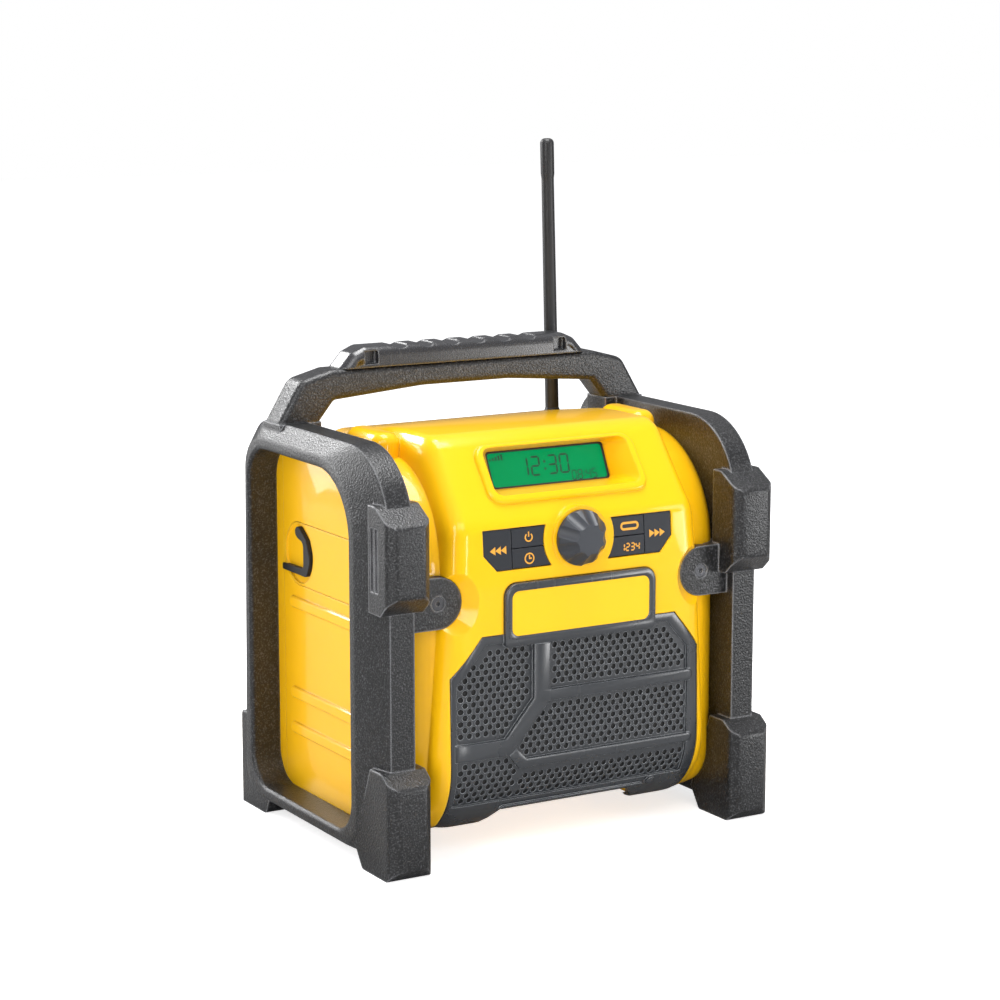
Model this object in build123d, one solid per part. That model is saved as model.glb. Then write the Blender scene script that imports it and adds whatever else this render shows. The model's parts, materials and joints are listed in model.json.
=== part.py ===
"""Compact jobsite radio: moulded housing in two shells, two bolted guards, arched carry handle.

Millimetres. X runs along the front with +X at the right-hand end, the front faces -Y and +Z is up.
The origin is the middle of the footprint, on the ground.
"""
from build123d import *
from math import atan2, cos, degrees, hypot, radians, sin
import os

os.makedirs("parts", exist_ok=True)

# ---------------------------------------------------------------- clearances
seam = 0.3            # gap between a moving piece and the opening it sits in
running = 0.05        # radial clearance of a turning shaft
air = 0.4             # gap behind a part that turns or swings

# ---------------------------------------------------------------- housing
wall = 3.0
front_y = -91.4       # flat of the centre block
rear_y = 80.0
bottom_z = 15.0
top_z = 243.0
top_bend_y = -4.0      # the top falls towards the rear from here
rear_top_z = 230.5
split_y = 65.5        # seam between the front shell and the rear cover
end_x = 113.0         # end panels, seen through the guards

chin_z = 38.0         # corner between the front and the chin's slope
chin_y = -69.0        # corner between the chin's slope and the underside
chin_r = 50.0
brow_y = -88.6        # corner between the key panel and the display slope
brow_z = 195.6
panel_foot_z = 160.0  # the key panel leans back from here up
crown_y = -52.3       # corner between the display slope and the top
corner_r = 18.0
bend_r = 60.0
top_bend_r = 200.0

collar_y = -79.0      # front of the lower collars beside the centre block
collar_z = 229.0
collar_r = 65.0
collar_chin_r = 26.0
collar_rear_r = 20.0
collar_roll = 27.0    # the collar's front rolls back to the end panel at this radius

roll_start = 72.0     # half width of the flat part of the block
roll_width = 26.0     # the block rolls back to the collar over this width
roll_depth = 13.0
roll_lean = 4.0       # degrees that the block's flanks lean in
roll_steps = 6

pad_inner_x = 79.0    # rounded humps on the collars, in front of the handle's feet
pad_outer_x = 97.5
pad_front_y = -26.0
pad_rear_y = 18.0
pad_top_z = 242.3
pad_corner_r = 8.5
pad_r = 7.0

# ---------------------------------------------------------------- guards
guard_inner_x = 108.6
guard_side_x = 124.0
lip_x = 132.0
guard_front_y = -90.0
guard_top_z = 242.0
guard_bottom_z = 7.0
guard_rear_top_y = 83.5
guard_rear_low_y = 93.0
guard_front_r = 48.0
guard_rear_r = 25.0
guard_bottom_r = 20.0
lip_front_y = -62.0
lip_top_z = 232.0
lip_bottom_z = 10.0
lip_rear_top_y = 78.0
lip_rear_low_y = 83.0
lip_front_r = 42.0
lip_rear_r = 22.0
recess_front_y = -55.0
recess_rear_y = 74.0
recess_top_z = 225.5
recess_bottom_z = 17.0
recess_front_r = 38.0
recess_rear_r = 20.0
lip_round = 2.2

foot_front_y = -102.0
foot_rear_y = 98.0
foot_inner_x = 102.5
foot_outer_x = 130.3
nose_bevel_x = 5.5    # bevels beside the bumpers' and feet's front faces
nose_bevel_y = 4.5
nose_r = 4.5            # rounds along those bevels
nose_rear_y = -76.5   # rear edge of the bumpers' and feet's outer sides
bumper_mid_z = 182.5
bumper_high = 39.6    # height of the bumper's front face
bumper_top_y = -84.0  # the slope over the bumper ends here
bumper_slope = 10.5   # height of that slope
bumper_under = 11.0   # height of the slope under the bumper
bumper_slot_z = 36.0  # height of the slots in the bumper's side
bumper_slot_y = 4.0
bumper_slot_web = 1.0
bumper_slot_depth = 2.0
bumper_slot_front = -88.0
front_foot_z = 53.5
foot_slope = 8.0      # height of the slope over a foot
rear_foot_z = 48.0
foot_toe_y = -66.0
foot_heel_y = 60.0
foot_nose_y = 6.5     # round between a foot's front face and its sole
foot_nose_z = 6.5
foot_cut_x = 4.4      # bevels at the sole's two sides
foot_inner_cut_z = 10.0
foot_outer_cut_z = 6.5

lug_x = 89.7
lug_z = 153.4
lug_r = 15.0
lug_face_y = -83.5
lug_seat_y = -78.0
lug_dish_r = 22.3     # rim of the flared dish round a lug
rear_lug_thick = 4.5

# ---------------------------------------------------------------- handle
stub_inner_x = 100.0
stub_outer_x = 127.6
handle_front_y = 39.0
handle_rear_y = 60.0
handle_knee_x = 112.8
handle_knee_rise = 24.5
handle_shoulder_x = 92.0
handle_rise = 30.0    # grip's seat above the guards' tops
handle_core_z = guard_top_z + handle_rise
handle_thick = 13.4   # core of the grip, in the middle
handle_gap_x = 30.0   # the underside starts to fall here
handle_fall = 4.9
handle_arm_x = 90.5
handle_round = 3.5
grip_thick = 12.5
grip_top_z = handle_core_z + grip_thick
grip_half_x = 70.0    # half length of the grip's top
grip_shoulder_x = 78.0
grip_shoulder_drop = 3.5
grip_foot_x = 86.0
grip_over = 0.6       # the grip stands this proud of the handle's core
grip_round = 6.0
groove_pitch = 18.0
groove_count = 6
groove_r = 7.0
groove_depth = 2.4
pocket_x = 66.0       # screw pockets at the grip's ends
pocket_drop = 10.5    # floor of a screw pocket, below the grip's top
pocket_size = 9.0
pocket_depth = 4.0
leg_screw_x = 118.0

# ---------------------------------------------------------------- display
hood_tilt = 37.5      # degrees from upright
hood_rise = 2.5
hood_y = -71.2        # middle of the raised frame
hood_z = 222.4
hood_half_x = 54.0
hood_high = 38.8
hood_r = 9.0
mouth_half_x = 50.0
mouth_low = 15.6      # mouth edges, from the frame's middle
mouth_high = 16.2
mouth_r = 6.0
window_tilt = 25.7
window_y = -55.1
window_z = 220.8
window_half_x = 40.0
window_high = 22.6
window_r = 2.0
glass_margin = 3.0
glass_thick = 1.5
gasket_thick = 0.8
gasket_show = 1.0     # the gasket's edge that shows inside the opening
lcd_thick = 2.5
board_thick = 1.6

# ---------------------------------------------------------------- knob and keys
knob_z = 184.0
knob_base_r = 16.3
knob_front_r = 9.8
knob_high = 11.0
knob_skirt = 2.5
knob_flutes = 9
knob_flute_r = 7.0
knob_flute_deep = 1.3
knob_boss_r = 18.5
knob_boss_y = -90.8
shaft_r = 3.0
shaft_depth = 7.0     # how far the shaft reaches into the knob
bush_r = 4.5
encoder_size = 13.0

key_recess = 0.5
key_travel = 0.8
key_group_r = 24.0    # the keys curve round the knob at this radius
key_inner_x = 18.0
key_split_x = 45.0
key_outer_x = 63.7
key_high = 23.3
key_drop = 14.3       # foot of the keys below the knob's axis
key_low_z = knob_z - key_drop
key_top_z = key_low_z + key_high
key_split_z = (key_low_z + key_top_z) / 2
key_bevel_x = 8.4
key_bevel_z = key_high * 0.4
key_back_y = -83.5
dome_high = 1.6
mat_thick = 1.2

# ---------------------------------------------------------------- grille
grille_sink = 3.6     # depth of the grille's seat below the block's surface
grille_gap = 0.3
grille_proud = 0.4    # border face, below the block's surface
field_sink = 1.7      # face of the perforated fields
grille_half_x = 84.5
grille_shoulder_z = 110.0
grille_cut_x = 65.5
grille_top_z = 132.7
chin_lobe_x = 56.0
chin_notch_x = 46.0
chin_notch_z = 26.0
grille_bottom_z = 15.5
hole_pitch = 8.0
hole_size = 4.2       # across the corners
dimple_deep = 1.2     # blind holes away from the speakers
badge_half_x = 51.3
badge_low_z = 125.0
badge_top_z = 162.0
badge_r = 8.0
badge_foot_r = 3.0
badge_face_y = -93.4
badge_rim = 4.0
badge_low_rim = 6.0
badge_bevel = 1.0
plate_rise = 0.9
plate_sink = 0.6
speaker_x = 42.0
speaker_z = 80.0
speaker_r = 38.0
speaker_hole_r = 34.0
speaker_flange_y = -82.0
speaker_deep = 30.0
magnet_r = 21.0
magnet_thick = 13.0
cone_thick = 0.8

# ---------------------------------------------------------------- AUX flap on the left end
flap_y = 44.5         # centre of the flap's round end
flap_z = 162.5
flap_r = 19.0
flap_front_y = -29.0
flap_thick = 3.0
flap_ledge = 3.0
flap_pocket = 16.0
bowl_wall = 2.0
hinge_y = -32.0
hinge_out = 1.0       # hinge axis, outside the end panel
knuckle_r = 2.4
pin_r = 1.0
ear_high = 4.5
dish_deep = 1.4
pull_thick = 1.6
jack_r = 4.0
jack_bore_r = 1.8
jack_y = 5.0
rib_z_list = (132.0, 76.0, 54.0)
rib_high = 7.0
rib_rise = 1.7
rib_bevel = 0.8
rib_front_y = -48.0
rib_rear_y = 56.0

# ---------------------------------------------------------------- rear cover
bay_half_x = 44.0
bay_low_z = 34.0
bay_top_z = 150.0
bay_floor_y = 38.0
bay_r = 4.0
rail_out = 4.0
rail_thick = 4.0
rail_y = 52.0
rail_low_z = 42.0
rail_top_z = 114.0
block_half_x = 20.0
block_low_z = 120.0
block_high = 24.0
block_thick = 11.0
blade_count = 4
blade_pitch = 9.0
blade_long = 14.0
blade_thick = 0.8
blade_wide = 6.0
dc_x = -74.0
dc_z = 62.0
dc_r = 6.5
dc_bore_r = 3.2
dc_long = 14.0
dc_pin_r = 1.0
door_x = 75.0
door_z = 80.0
door_half_x = 14.0
door_half_z = 30.0
door_thick = 2.0
cell_r = 5.25
cell_long = 44.5
cell_pitch = 11.2
cover_screw_x = 60.0
cover_screw_top_z = 202.0
cover_screw_low_z = 34.0
cover_web = 2.4
cover_screw_r = 1.8
cover_boss_r = 4.5
cover_boss_long = 26.0
head_r = 3.2
head_thick = 2.0
main_board_x = 60.0
main_board_low = 60.0
main_board_top = 145.0
main_board_y = 29.0
post_x = 36.0
post_r = 3.0

# ---------------------------------------------------------------- antenna
antenna_x = 81.5
antenna_y = 72.5
antenna_lean = 1.5    # degrees towards the left
antenna_r = 4.3
antenna_tip_z = 403.0
antenna_seat_z = 228.0
antenna_boss_r = 6.4
antenna_boss_low = 204.0
ferrule_r = 5.0
ferrule_high = 5.0
tip_cap = 22.0

knob_face_y = knob_boss_y - air - knob_high
middle_y = (min(knob_face_y, foot_front_y) + foot_rear_y) / 2

# ---------------------------------------------------------------- screws
guard_screw_r = 2.0
guard_screw_head = 4.2
guard_screw_sink = 2.2
guard_screw_long = 20.0


def outline(corners):
    """Closed face through (u, v, corner radius) points, given anticlockwise."""
    face = make_face(Polyline(*[(u, v) for u, v, _ in corners], close=True))
    for u, v, radius in corners:
        if radius > 0:
            face = fillet(face.vertices().sort_by_distance((u, v))[0], radius)
    return face


def prism_x(sketch, low, high):
    """Solid from a sketch drawn in Y and Z, between two X positions."""
    return extrude(Plane.YZ.offset(low) * sketch, amount=high - low, dir=(1, 0, 0))


def prism_y(sketch, low, high):
    """Solid from a sketch drawn in X and Z, between two Y positions."""
    return extrude(Plane.XZ.offset(-low) * sketch, amount=high - low, dir=(0, 1, 0))


def prism_z(sketch, low, high):
    """Solid from a sketch drawn in X and Y, between two heights."""
    return extrude(Plane.XY.offset(low) * sketch, amount=high - low, dir=(0, 0, 1))


def rod_y(x, z, radius, low, high):
    return prism_y(Pos(x, z) * Circle(radius), low, high)


def block(x_low, x_high, y_low, y_high, z_low, z_high):
    """Box between two corners."""
    middle = ((x_low + x_high) / 2, (y_low + y_high) / 2, (z_low + z_high) / 2)
    return Pos(*middle) * Box(x_high - x_low, y_high - y_low, z_high - z_low)


def both_ends(solid):
    """The solid and its mirror image at the left end."""
    return solid + mirror(solid, about=Plane.YZ)


def left_of(solid):
    return mirror(solid, about=Plane.YZ)


def save(name, *solids):
    """Write one node, moved so that the origin is under the middle of the whole radio."""
    shape = Compound(children=[Pos(0, -middle_y, 0) * piece for solid in solids for piece in solid.solids()])
    shape.label = name
    export_step(shape, f"parts/{name}.step")


# ================================================================ housing forms
def block_outline(inset=0.0):
    """Side view of the centre block: chin, front, key panel, display slope, top and rear."""
    face = outline([
        (chin_y, bottom_z, corner_r),
        (rear_y, bottom_z, corner_r),
        (rear_y, rear_top_z, corner_r),
        (top_bend_y, top_z, top_bend_r),
        (crown_y, top_z, corner_r),
        (brow_y, brow_z, corner_r),
        (front_y, panel_foot_z, bend_r),
        (front_y, chin_z, chin_r),
    ])
    return offset(face, amount=-inset) if inset else face


def collar_outline(inset=0.0, shift=0.0):
    """Side view of the collars, with the front moved back by shift."""
    face = outline([
        (collar_y + shift, bottom_z, collar_chin_r),
        (rear_y, bottom_z, collar_rear_r),
        (rear_y, collar_z, collar_rear_r),
        (collar_y + shift, collar_z, collar_r),
    ])
    return offset(face, amount=-inset) if inset else face


def collar_body(inset=0.0):
    """The end collars in one piece, their fronts rolled back to the end panels."""
    radius = collar_roll - inset
    start = end_x - collar_roll
    sections = []
    for step in range(roll_steps + 1):
        turn = radians(90.0 * step / roll_steps)
        face = collar_outline(inset, radius * (1 - cos(turn)))
        sections.append(Plane.YZ.offset(start + radius * sin(turn)) * face)
    flank = loft(sections, ruled=True)
    return prism_x(collar_outline(inset), -start, start) + flank + left_of(flank)


def belly(grow=0.0):
    """Channel along the underside, between the two lobes of the chin."""
    slope = (chin_lobe_x - chin_notch_x) / (chin_notch_z - bottom_z)
    face = outline([
        (-chin_lobe_x - slope, bottom_z - 1, 0), (chin_lobe_x + slope, bottom_z - 1, 0),
        (chin_notch_x, chin_notch_z, 3), (-chin_notch_x, chin_notch_z, 3)])
    return prism_y(offset(face, amount=grow) if grow else face, front_y - 5, rear_y + 5)


def roll_section(step, inset):
    """Section of the block's rolled flank, on a plane that leans in more with each step."""
    turn = radians(90.0 * step / roll_steps)
    lean = radians(roll_lean * sin(turn))
    reach = roll_start + roll_width * sin(turn) - inset * sin(turn)
    plane = Plane(origin=(reach, 0, 0), x_dir=(0, 1, 0), z_dir=(cos(lean), 0, sin(lean)))
    return plane * block_outline(inset + roll_depth * (1 - cos(turn)))


def centre_block(inset=0.0):
    """The centre block with its flanks rolled back to the collars."""
    body = prism_x(block_outline(inset), -roll_start, roll_start)
    sections = [roll_section(step, inset) for step in range(roll_steps + 1)]
    flank = loft(sections, ruled=True)
    return body + flank + left_of(flank)


def hood_plane(depth=0.0):
    """Plane of the display's raised frame; depth goes into the housing."""
    tilt = radians(hood_tilt)
    out = (0, -cos(tilt), sin(tilt))
    origin = (0, hood_y - out[1] * depth, hood_z - out[2] * depth)
    return Plane(origin=origin, x_dir=(1, 0, 0), z_dir=out)


def window_plane(depth=0.0):
    """Plane of the display opening's floor; depth goes into the housing."""
    tilt = radians(window_tilt)
    out = (0, -cos(tilt), sin(tilt))
    origin = (0, window_y - out[1] * depth, window_z - out[2] * depth)
    return Plane(origin=origin, x_dir=(1, 0, 0), z_dir=out)


def layer(half_x, high, radius, depth, thick):
    """Rounded plate parallel to the display window."""
    sketch = RectangleRounded(2 * half_x, high, radius)
    return extrude(window_plane(depth) * sketch, amount=-thick)


def mouth_sketch(grow=0.0):
    high = mouth_low + mouth_high
    middle = (mouth_high - mouth_low) / 2
    return Pos(0, middle) * RectangleRounded(2 * (mouth_half_x + grow), high + 2 * grow, mouth_r + grow)


def display_funnel(grow=0.0):
    """Tapered way from the frame's mouth down to the window."""
    window = RectangleRounded(2 * (window_half_x + grow), window_high + 2 * grow, window_r + grow)
    return loft([hood_plane(-1.0) * mouth_sketch(grow), window_plane() * window], ruled=True)


def key_group(grow=0.0):
    """Front view of one group of three keys, on the right of the knob."""
    shape = outline([
        (key_inner_x, key_low_z, 0),
        (key_outer_x - key_bevel_x, key_low_z, 0),
        (key_outer_x, key_low_z + key_bevel_z, 0),
        (key_outer_x, key_top_z, 0),
        (key_inner_x, key_top_z, 0),
    ])
    shape -= Pos(0, knob_z) * Circle(key_group_r)
    return offset(shape, amount=grow) if grow else shape


def badge_frame_sketch(grow=0.0):
    half = badge_half_x + grow
    return outline([
        (-half, badge_low_z - grow, badge_foot_r),
        (half, badge_low_z - grow, badge_foot_r),
        (half, badge_top_z + grow, badge_r),
        (-half, badge_top_z + grow, badge_r),
    ])


def plate_sketch():
    """The opening of the plate's frame, which the plate fills."""
    half = badge_half_x - badge_rim
    radius = badge_r - badge_rim
    return outline([
        (-half, badge_low_z + badge_low_rim, radius),
        (half, badge_low_z + badge_low_rim, radius),
        (half, badge_top_z - badge_rim, radius),
        (-half, badge_top_z - badge_rim, radius),
    ])


def grille_sketch(grow=0.0):
    """Front view of the grille's border, without the plate's frame."""
    half = grille_half_x + grow
    return outline([
        (-half, grille_bottom_z - grow, 0),
        (-chin_lobe_x, grille_bottom_z - grow, 0),
        (-chin_notch_x, chin_notch_z - grow, 0),
        (chin_notch_x, chin_notch_z - grow, 0),
        (chin_lobe_x, grille_bottom_z - grow, 0),
        (half, grille_bottom_z - grow, 0),
        (half, grille_shoulder_z, 0),
        (grille_cut_x + grow, grille_top_z + grow, 0),
        (-grille_cut_x - grow, grille_top_z + grow, 0),
        (-half, grille_shoulder_z, 0),
    ])


def flap_sketch(shrink=0.0):
    """Side view of the AUX flap: straight at the hinge, round at the rear."""
    radius = flap_r - shrink
    front = flap_front_y + shrink
    middle = (front + flap_y) / 2
    return Pos(middle, flap_z) * Rectangle(flap_y - front, 2 * radius) + Pos(flap_y, flap_z) * Circle(radius)


def screw_spots():
    """X and Z of the rear cover's screws."""
    heights = (cover_screw_top_z, cover_screw_low_z)
    return [(sign * cover_screw_x, z) for sign in (-1, 1) for z in heights]


def screw_post(x, z, low, high):
    """Boss for a cover screw with a web to the nearest wall."""
    web_end = top_z if z > hood_z / 2 else bottom_z
    web = block(x - cover_web / 2, x + cover_web / 2, low, high, min(z, web_end), max(z, web_end))
    return rod_y(x, z, cover_boss_r, low, high) + web


# ================================================================ housing shells
def housing_blank():
    pad = block(pad_inner_x, pad_outer_x, pad_front_y, pad_rear_y, collar_z - 10, pad_top_z)
    pad = fillet(pad.edges().filter_by(Axis.Z), pad_corner_r)
    pad = fillet(pad.faces().sort_by(Axis.Z)[-1].edges(), pad_r)
    boss = rod_y(0, knob_z, knob_boss_r, knob_boss_y, knob_boss_y + 12)
    hood = extrude(hood_plane() * RectangleRounded(2 * hood_half_x, hood_high, hood_r), amount=-6)
    hood = fillet(hood.faces().sort_by(Axis.Z)[-1].edges(), hood_rise * 0.8)
    return centre_block() + collar_body() + both_ends(pad) + boss + hood - belly()


def housing_cavity():
    room = collar_body(wall)
    half = roll_start - 2
    upper = prism_x(block_outline(wall), -half, half)
    upper &= block(-half, half, front_y, rear_y, badge_top_z + 3, top_z)
    lower = prism_x(block_outline(wall + grille_sink), -half, half)
    return room + upper + lower - belly(wall)


def housing_bosses():
    """Walls round the openings, on the inside of the front shell."""
    funnel_wall = display_funnel(wall)
    box_margin = glass_margin + wall
    window_box = layer(window_half_x + box_margin, window_high + 2 * box_margin, 3, -0.5, 9.0)
    ring = rod_y(speaker_x, speaker_z, speaker_r + 1, front_y + 4, speaker_flange_y)
    lug_boss = rod_y(lug_x, lug_z, 5, lug_seat_y + 1, lug_seat_y + guard_screw_long)
    screws = [screw_post(x, z, split_y - cover_boss_long, split_y) for x, z in screw_spots()]
    bowl = prism_x(flap_sketch(-seam - bowl_wall), 1 - end_x, flap_pocket + bowl_wall - end_x)
    solids = funnel_wall + window_box + both_ends(ring) + both_ends(lug_boss) + bowl
    for screw in screws:
        solids += screw
    return solids


def lug_pocket():
    """Seat of a guard's lug, with a dish that flares to the block's surface."""
    radius = lug_r + seam
    disc = Pos(lug_x, lug_z) * Circle(radius)
    bar = Pos((lug_x + end_x) / 2, lug_z) * Rectangle(end_x - lug_x, 2 * radius)
    flare_deep = lug_face_y - front_y
    flare_y = (front_y + lug_face_y) / 2
    flare = Pos(lug_x, flare_y, lug_z) * Rot(90, 0, 0) * Cone(radius, lug_dish_r, flare_deep)
    return prism_y(disc + bar, front_y - 5, lug_seat_y) + flare


def front_housing(blank):
    front_half = block(-end_x - 1, end_x + 1, front_y - 5, split_y, 0, top_z + 20)
    inner = blank & block(-end_x, end_x, front_y, split_y, bottom_z, top_z)
    shell = blank & front_half
    shell -= housing_cavity()
    shell += housing_bosses() & inner
    shell -= display_funnel()
    glass_room = layer(window_half_x + glass_margin, window_high + 2 * glass_margin, 2, 0, 12)
    shell -= glass_room
    skirt = Pos(0, bottom_z) * Rectangle(2 * (grille_half_x + grille_gap), 2 * (chin_notch_z - bottom_z))
    seat = grille_sketch(grille_gap) + badge_frame_sketch(grille_gap) + skirt
    shell -= prism_y(seat, front_y - 8, chin_y + 12) - centre_block(grille_sink)
    for side in (-1, 1):
        shell -= rod_y(side * speaker_x, speaker_z, speaker_hole_r, front_y, speaker_flange_y)
        shell -= rod_y(side * speaker_x, speaker_z, speaker_r + 1, speaker_flange_y, collar_y + 8)
    wells = prism_y(key_group(seam), front_y - 5, key_back_y + 12)
    shell -= both_ends(wells)
    shell -= both_ends(lug_pocket())
    shell -= both_ends(rod_y(lug_x, lug_z, guard_screw_r, lug_seat_y - 1, lug_seat_y + guard_screw_long))
    shell -= rod_y(0, knob_z, bush_r, front_y - 1, front_y + 14)
    for x, z in screw_spots():
        shell -= rod_y(x, z, cover_screw_r, split_y - cover_boss_long + 4, split_y + 1)
    shell -= prism_x(flap_sketch(-seam), -end_x - 1, flap_thick + seam - end_x)
    shell -= prism_x(flap_sketch(flap_ledge), -end_x, flap_pocket - end_x)
    groove = Pos(-end_x - hinge_out, hinge_y) * Circle(knuckle_r + seam)
    shell -= prism_z(groove, flap_z - flap_r - seam, flap_z + flap_r + seam)
    shell -= block(-end_x - 1, flap_thick + seam - end_x, hinge_y, flap_front_y + 1,
                   flap_z - flap_r - seam, flap_z + flap_r + seam)
    jack = prism_x(Pos(jack_y, flap_z) * Circle(jack_r), flap_pocket - end_x - 1, flap_pocket - end_x + 4)
    shell -= jack
    for ear_z in (flap_z - flap_r + ear_high / 2, flap_z + flap_r - ear_high / 2):
        ear = Pos(-end_x - hinge_out, hinge_y) * Circle(knuckle_r)
        foot = Pos(-end_x + 1, hinge_y) * Rectangle(2 * hinge_out + 2, 2 * knuckle_r)
        ear_low = ear_z - ear_high / 2
        shell += prism_z(ear + foot, ear_low, ear_low + ear_high)
    pin_hole = Pos(-end_x - hinge_out, hinge_y) * Circle(pin_r)
    shell -= prism_z(pin_hole, flap_z - flap_r, flap_z + flap_r)
    for rib_z in rib_z_list:
        shell += both_ends(panel_rib(rib_z))
    return shell


def panel_rib(z):
    """Raised rib with round ends on an end panel."""
    middle = (rib_front_y + rib_rear_y) / 2
    slot = Pos(middle, z) * SlotOverall(rib_rear_y - rib_front_y, rib_high)
    rib = prism_x(slot, end_x - 1, end_x + rib_rise)
    return chamfer(rib.faces().sort_by(Axis.X)[-1].edges(), rib_bevel)


def rear_cover(blank):
    rear_half = block(-end_x - 1, end_x + 1, split_y, rear_y + 1, 0, top_z + 20)
    cover = (blank & rear_half) - housing_cavity()
    inner = block(-end_x + wall, end_x - wall, bay_floor_y - wall, rear_y, bottom_z + 1, top_z)
    bay_wall = prism_y(
        Pos(0, (bay_low_z + bay_top_z) / 2)
        * RectangleRounded(2 * (bay_half_x + wall), bay_top_z - bay_low_z + 2 * wall, bay_r),
        bay_floor_y - wall, rear_y)
    cover += bay_wall & inner
    bay = prism_y(
        Pos(0, (bay_low_z + bay_top_z) / 2) * RectangleRounded(2 * bay_half_x, bay_top_z - bay_low_z, bay_r),
        bay_floor_y, rear_y + 1)
    cover -= bay
    rail = block(bay_half_x - rail_out, bay_half_x + 1, rail_y, rail_y + rail_thick, rail_low_z, rail_top_z)
    cover += both_ends(rail)
    for x, z in screw_spots():
        cover += screw_post(x, z, split_y, rear_y - 1) & blank
        cover -= rod_y(x, z, cover_screw_r, split_y - 1, rear_y + 1)
        cover -= rod_y(x, z, head_r, rear_y - head_thick - 1, rear_y + 1)
    for side in (-1, 1):
        cover += rod_y(side * lug_x, lug_z, 5, rear_y - 12, rear_y - 1)
        cover -= rod_y(side * lug_x, lug_z, guard_screw_r, rear_y - 13, rear_y + 1)
    antenna_spot = Pos(antenna_x, antenna_y)
    cover += prism_z(antenna_spot * Circle(antenna_boss_r), antenna_boss_low, antenna_seat_z)
    cover -= prism_z(antenna_spot * Circle(antenna_boss_r), antenna_seat_z, top_z)
    # socket for the mains adaptor's plug
    cover += rod_y(dc_x, dc_z, dc_r + 2, rear_y - dc_long, rear_y)
    cover -= rod_y(dc_x, dc_z, dc_r, rear_y - dc_long - 1, rear_y + 1)
    # box for the clock's backup cells, with a recess for its cover
    room_y = rear_y - 2 * cell_r - door_thick - 1
    cell_room = block(door_x - door_half_x + 2, door_x + door_half_x - 2, room_y, rear_y + 1,
                      door_z - cell_long / 2 - 1, door_z + cell_long / 2 + 1)
    cell_box = block(door_x - door_half_x, door_x + door_half_x, room_y - 2, rear_y - 1,
                     door_z - door_half_z, door_z + door_half_z)
    recess = block(door_x - door_half_x, door_x + door_half_x, rear_y - door_thick, rear_y + 1,
                   door_z - door_half_z, door_z + door_half_z)
    cover = cover + cell_box - cell_room - recess
    return cover


# ================================================================ grille
def inside(corners, u, v, margin):
    """True where (u, v) lies at least margin inside a convex anticlockwise polygon."""
    for (u0, v0), (u1, v1) in zip(corners, corners[1:] + corners[:1]):
        run, rise = u1 - u0, v1 - v0
        if (run * (v - v0) - rise * (u - u0)) / hypot(run, rise) < margin:
            return False
    return True


rib_left_x = -31.5    # the upright rib beside the left-hand field
rib_right_x = -20.5
knee_left_z = 93.0    # it turns down to the left here
knee_right_z = 90.5
rib_low_top_z = 71.2  # the rib's level run at the left
rib_low_z = 61.0
foot_left_x = -50.2
step_x = -42.8        # where the level run meets the diagonal
step_z = 64.8
long_rib_top_z = 58.0
long_rib_low_z = 52.3
long_rib_x = -36.0
long_rib_end = -41.0
upper_rib_top_z = 97.0
upper_rib_low_z = 90.0
field_right_x = 74.5
field_left_x = -81.0
field_top_z = 127.0
field_low_z = 33.0


def grille_fields():
    """Perforated fields as convex polygons, anticlockwise, in X and Z."""
    left = [(field_left_x, rib_low_top_z), (foot_left_x, rib_low_top_z), (rib_left_x, knee_left_z),
            (rib_left_x, field_top_z), (-63.0, field_top_z), (field_left_x, 106.0)]
    upper = [(rib_right_x, upper_rib_top_z), (field_right_x, upper_rib_top_z), (field_right_x, 111.5),
             (60.5, field_top_z), (rib_right_x, field_top_z)]
    middle = [(long_rib_x, long_rib_top_z), (field_right_x, long_rib_top_z), (field_right_x, upper_rib_low_z),
              (rib_right_x, knee_right_z), (step_x, step_z)]
    low_right = [(long_rib_end, field_low_z), (field_right_x, field_low_z), (field_right_x, long_rib_low_z),
                 (long_rib_end, long_rib_low_z)]
    low_left = [(field_left_x, field_low_z), (long_rib_end, field_low_z), (long_rib_end, long_rib_low_z),
                (-48.3, rib_low_z), (field_left_x, rib_low_z)]
    return [left, upper, middle, low_right, low_left]


def speaker_grille():
    shell = centre_block(grille_proud) & prism_y(grille_sketch(), front_y - 5, chin_y + 12)
    shell -= centre_block(grille_sink)
    pockets = Sketch()
    for corners in grille_fields():
        pockets += outline([(u, v, 0) for u, v in corners])
    shell -= prism_y(pockets, front_y - 5, chin_y) - centre_block(field_sink)
    frame = prism_y(badge_frame_sketch(), badge_face_y, front_y + grille_sink)
    shell += chamfer(frame.faces().sort_by(Axis.Y)[0].edges(), badge_bevel)
    shell -= prism_y(plate_sketch(), badge_face_y - 1, badge_face_y + plate_rise + plate_sink)
    holes = []
    dimples = []
    half = hole_size / 2
    columns = int(grille_half_x / hole_pitch) + 1
    rows = int(grille_top_z / hole_pitch * 2) + 1
    for row in range(rows):
        shift = hole_pitch / 2 * (row % 2)
        for column in range(-columns, columns + 1):
            u, v = column * hole_pitch + shift, row * hole_pitch / 2
            clear_of_plate = v < badge_low_z - half or abs(u) > badge_half_x + half
            if clear_of_plate and any(inside(field, u, v, half) for field in grille_fields()):
                over_speaker = hypot(abs(u) - speaker_x, v - speaker_z) < speaker_hole_r - half
                group = holes if over_speaker else dimples
                group.append(Pos(u, v) * RegularPolygon(half, 4, rotation=0))
    shell -= prism_y(Sketch() + dimples, front_y - 5, chin_y + 6) - centre_block(field_sink + dimple_deep)
    return shell - prism_y(Sketch() + holes, front_y - 5, chin_y + 6)


def badge_plate():
    return prism_y(plate_sketch(), badge_face_y + plate_sink, badge_face_y + plate_sink + plate_rise)


# ================================================================ controls
def key_solid(sketch):
    skin = prism_x(block_outline(key_recess), 0, roll_start)
    return prism_y(sketch, front_y - 5, key_back_y) & skin


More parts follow.
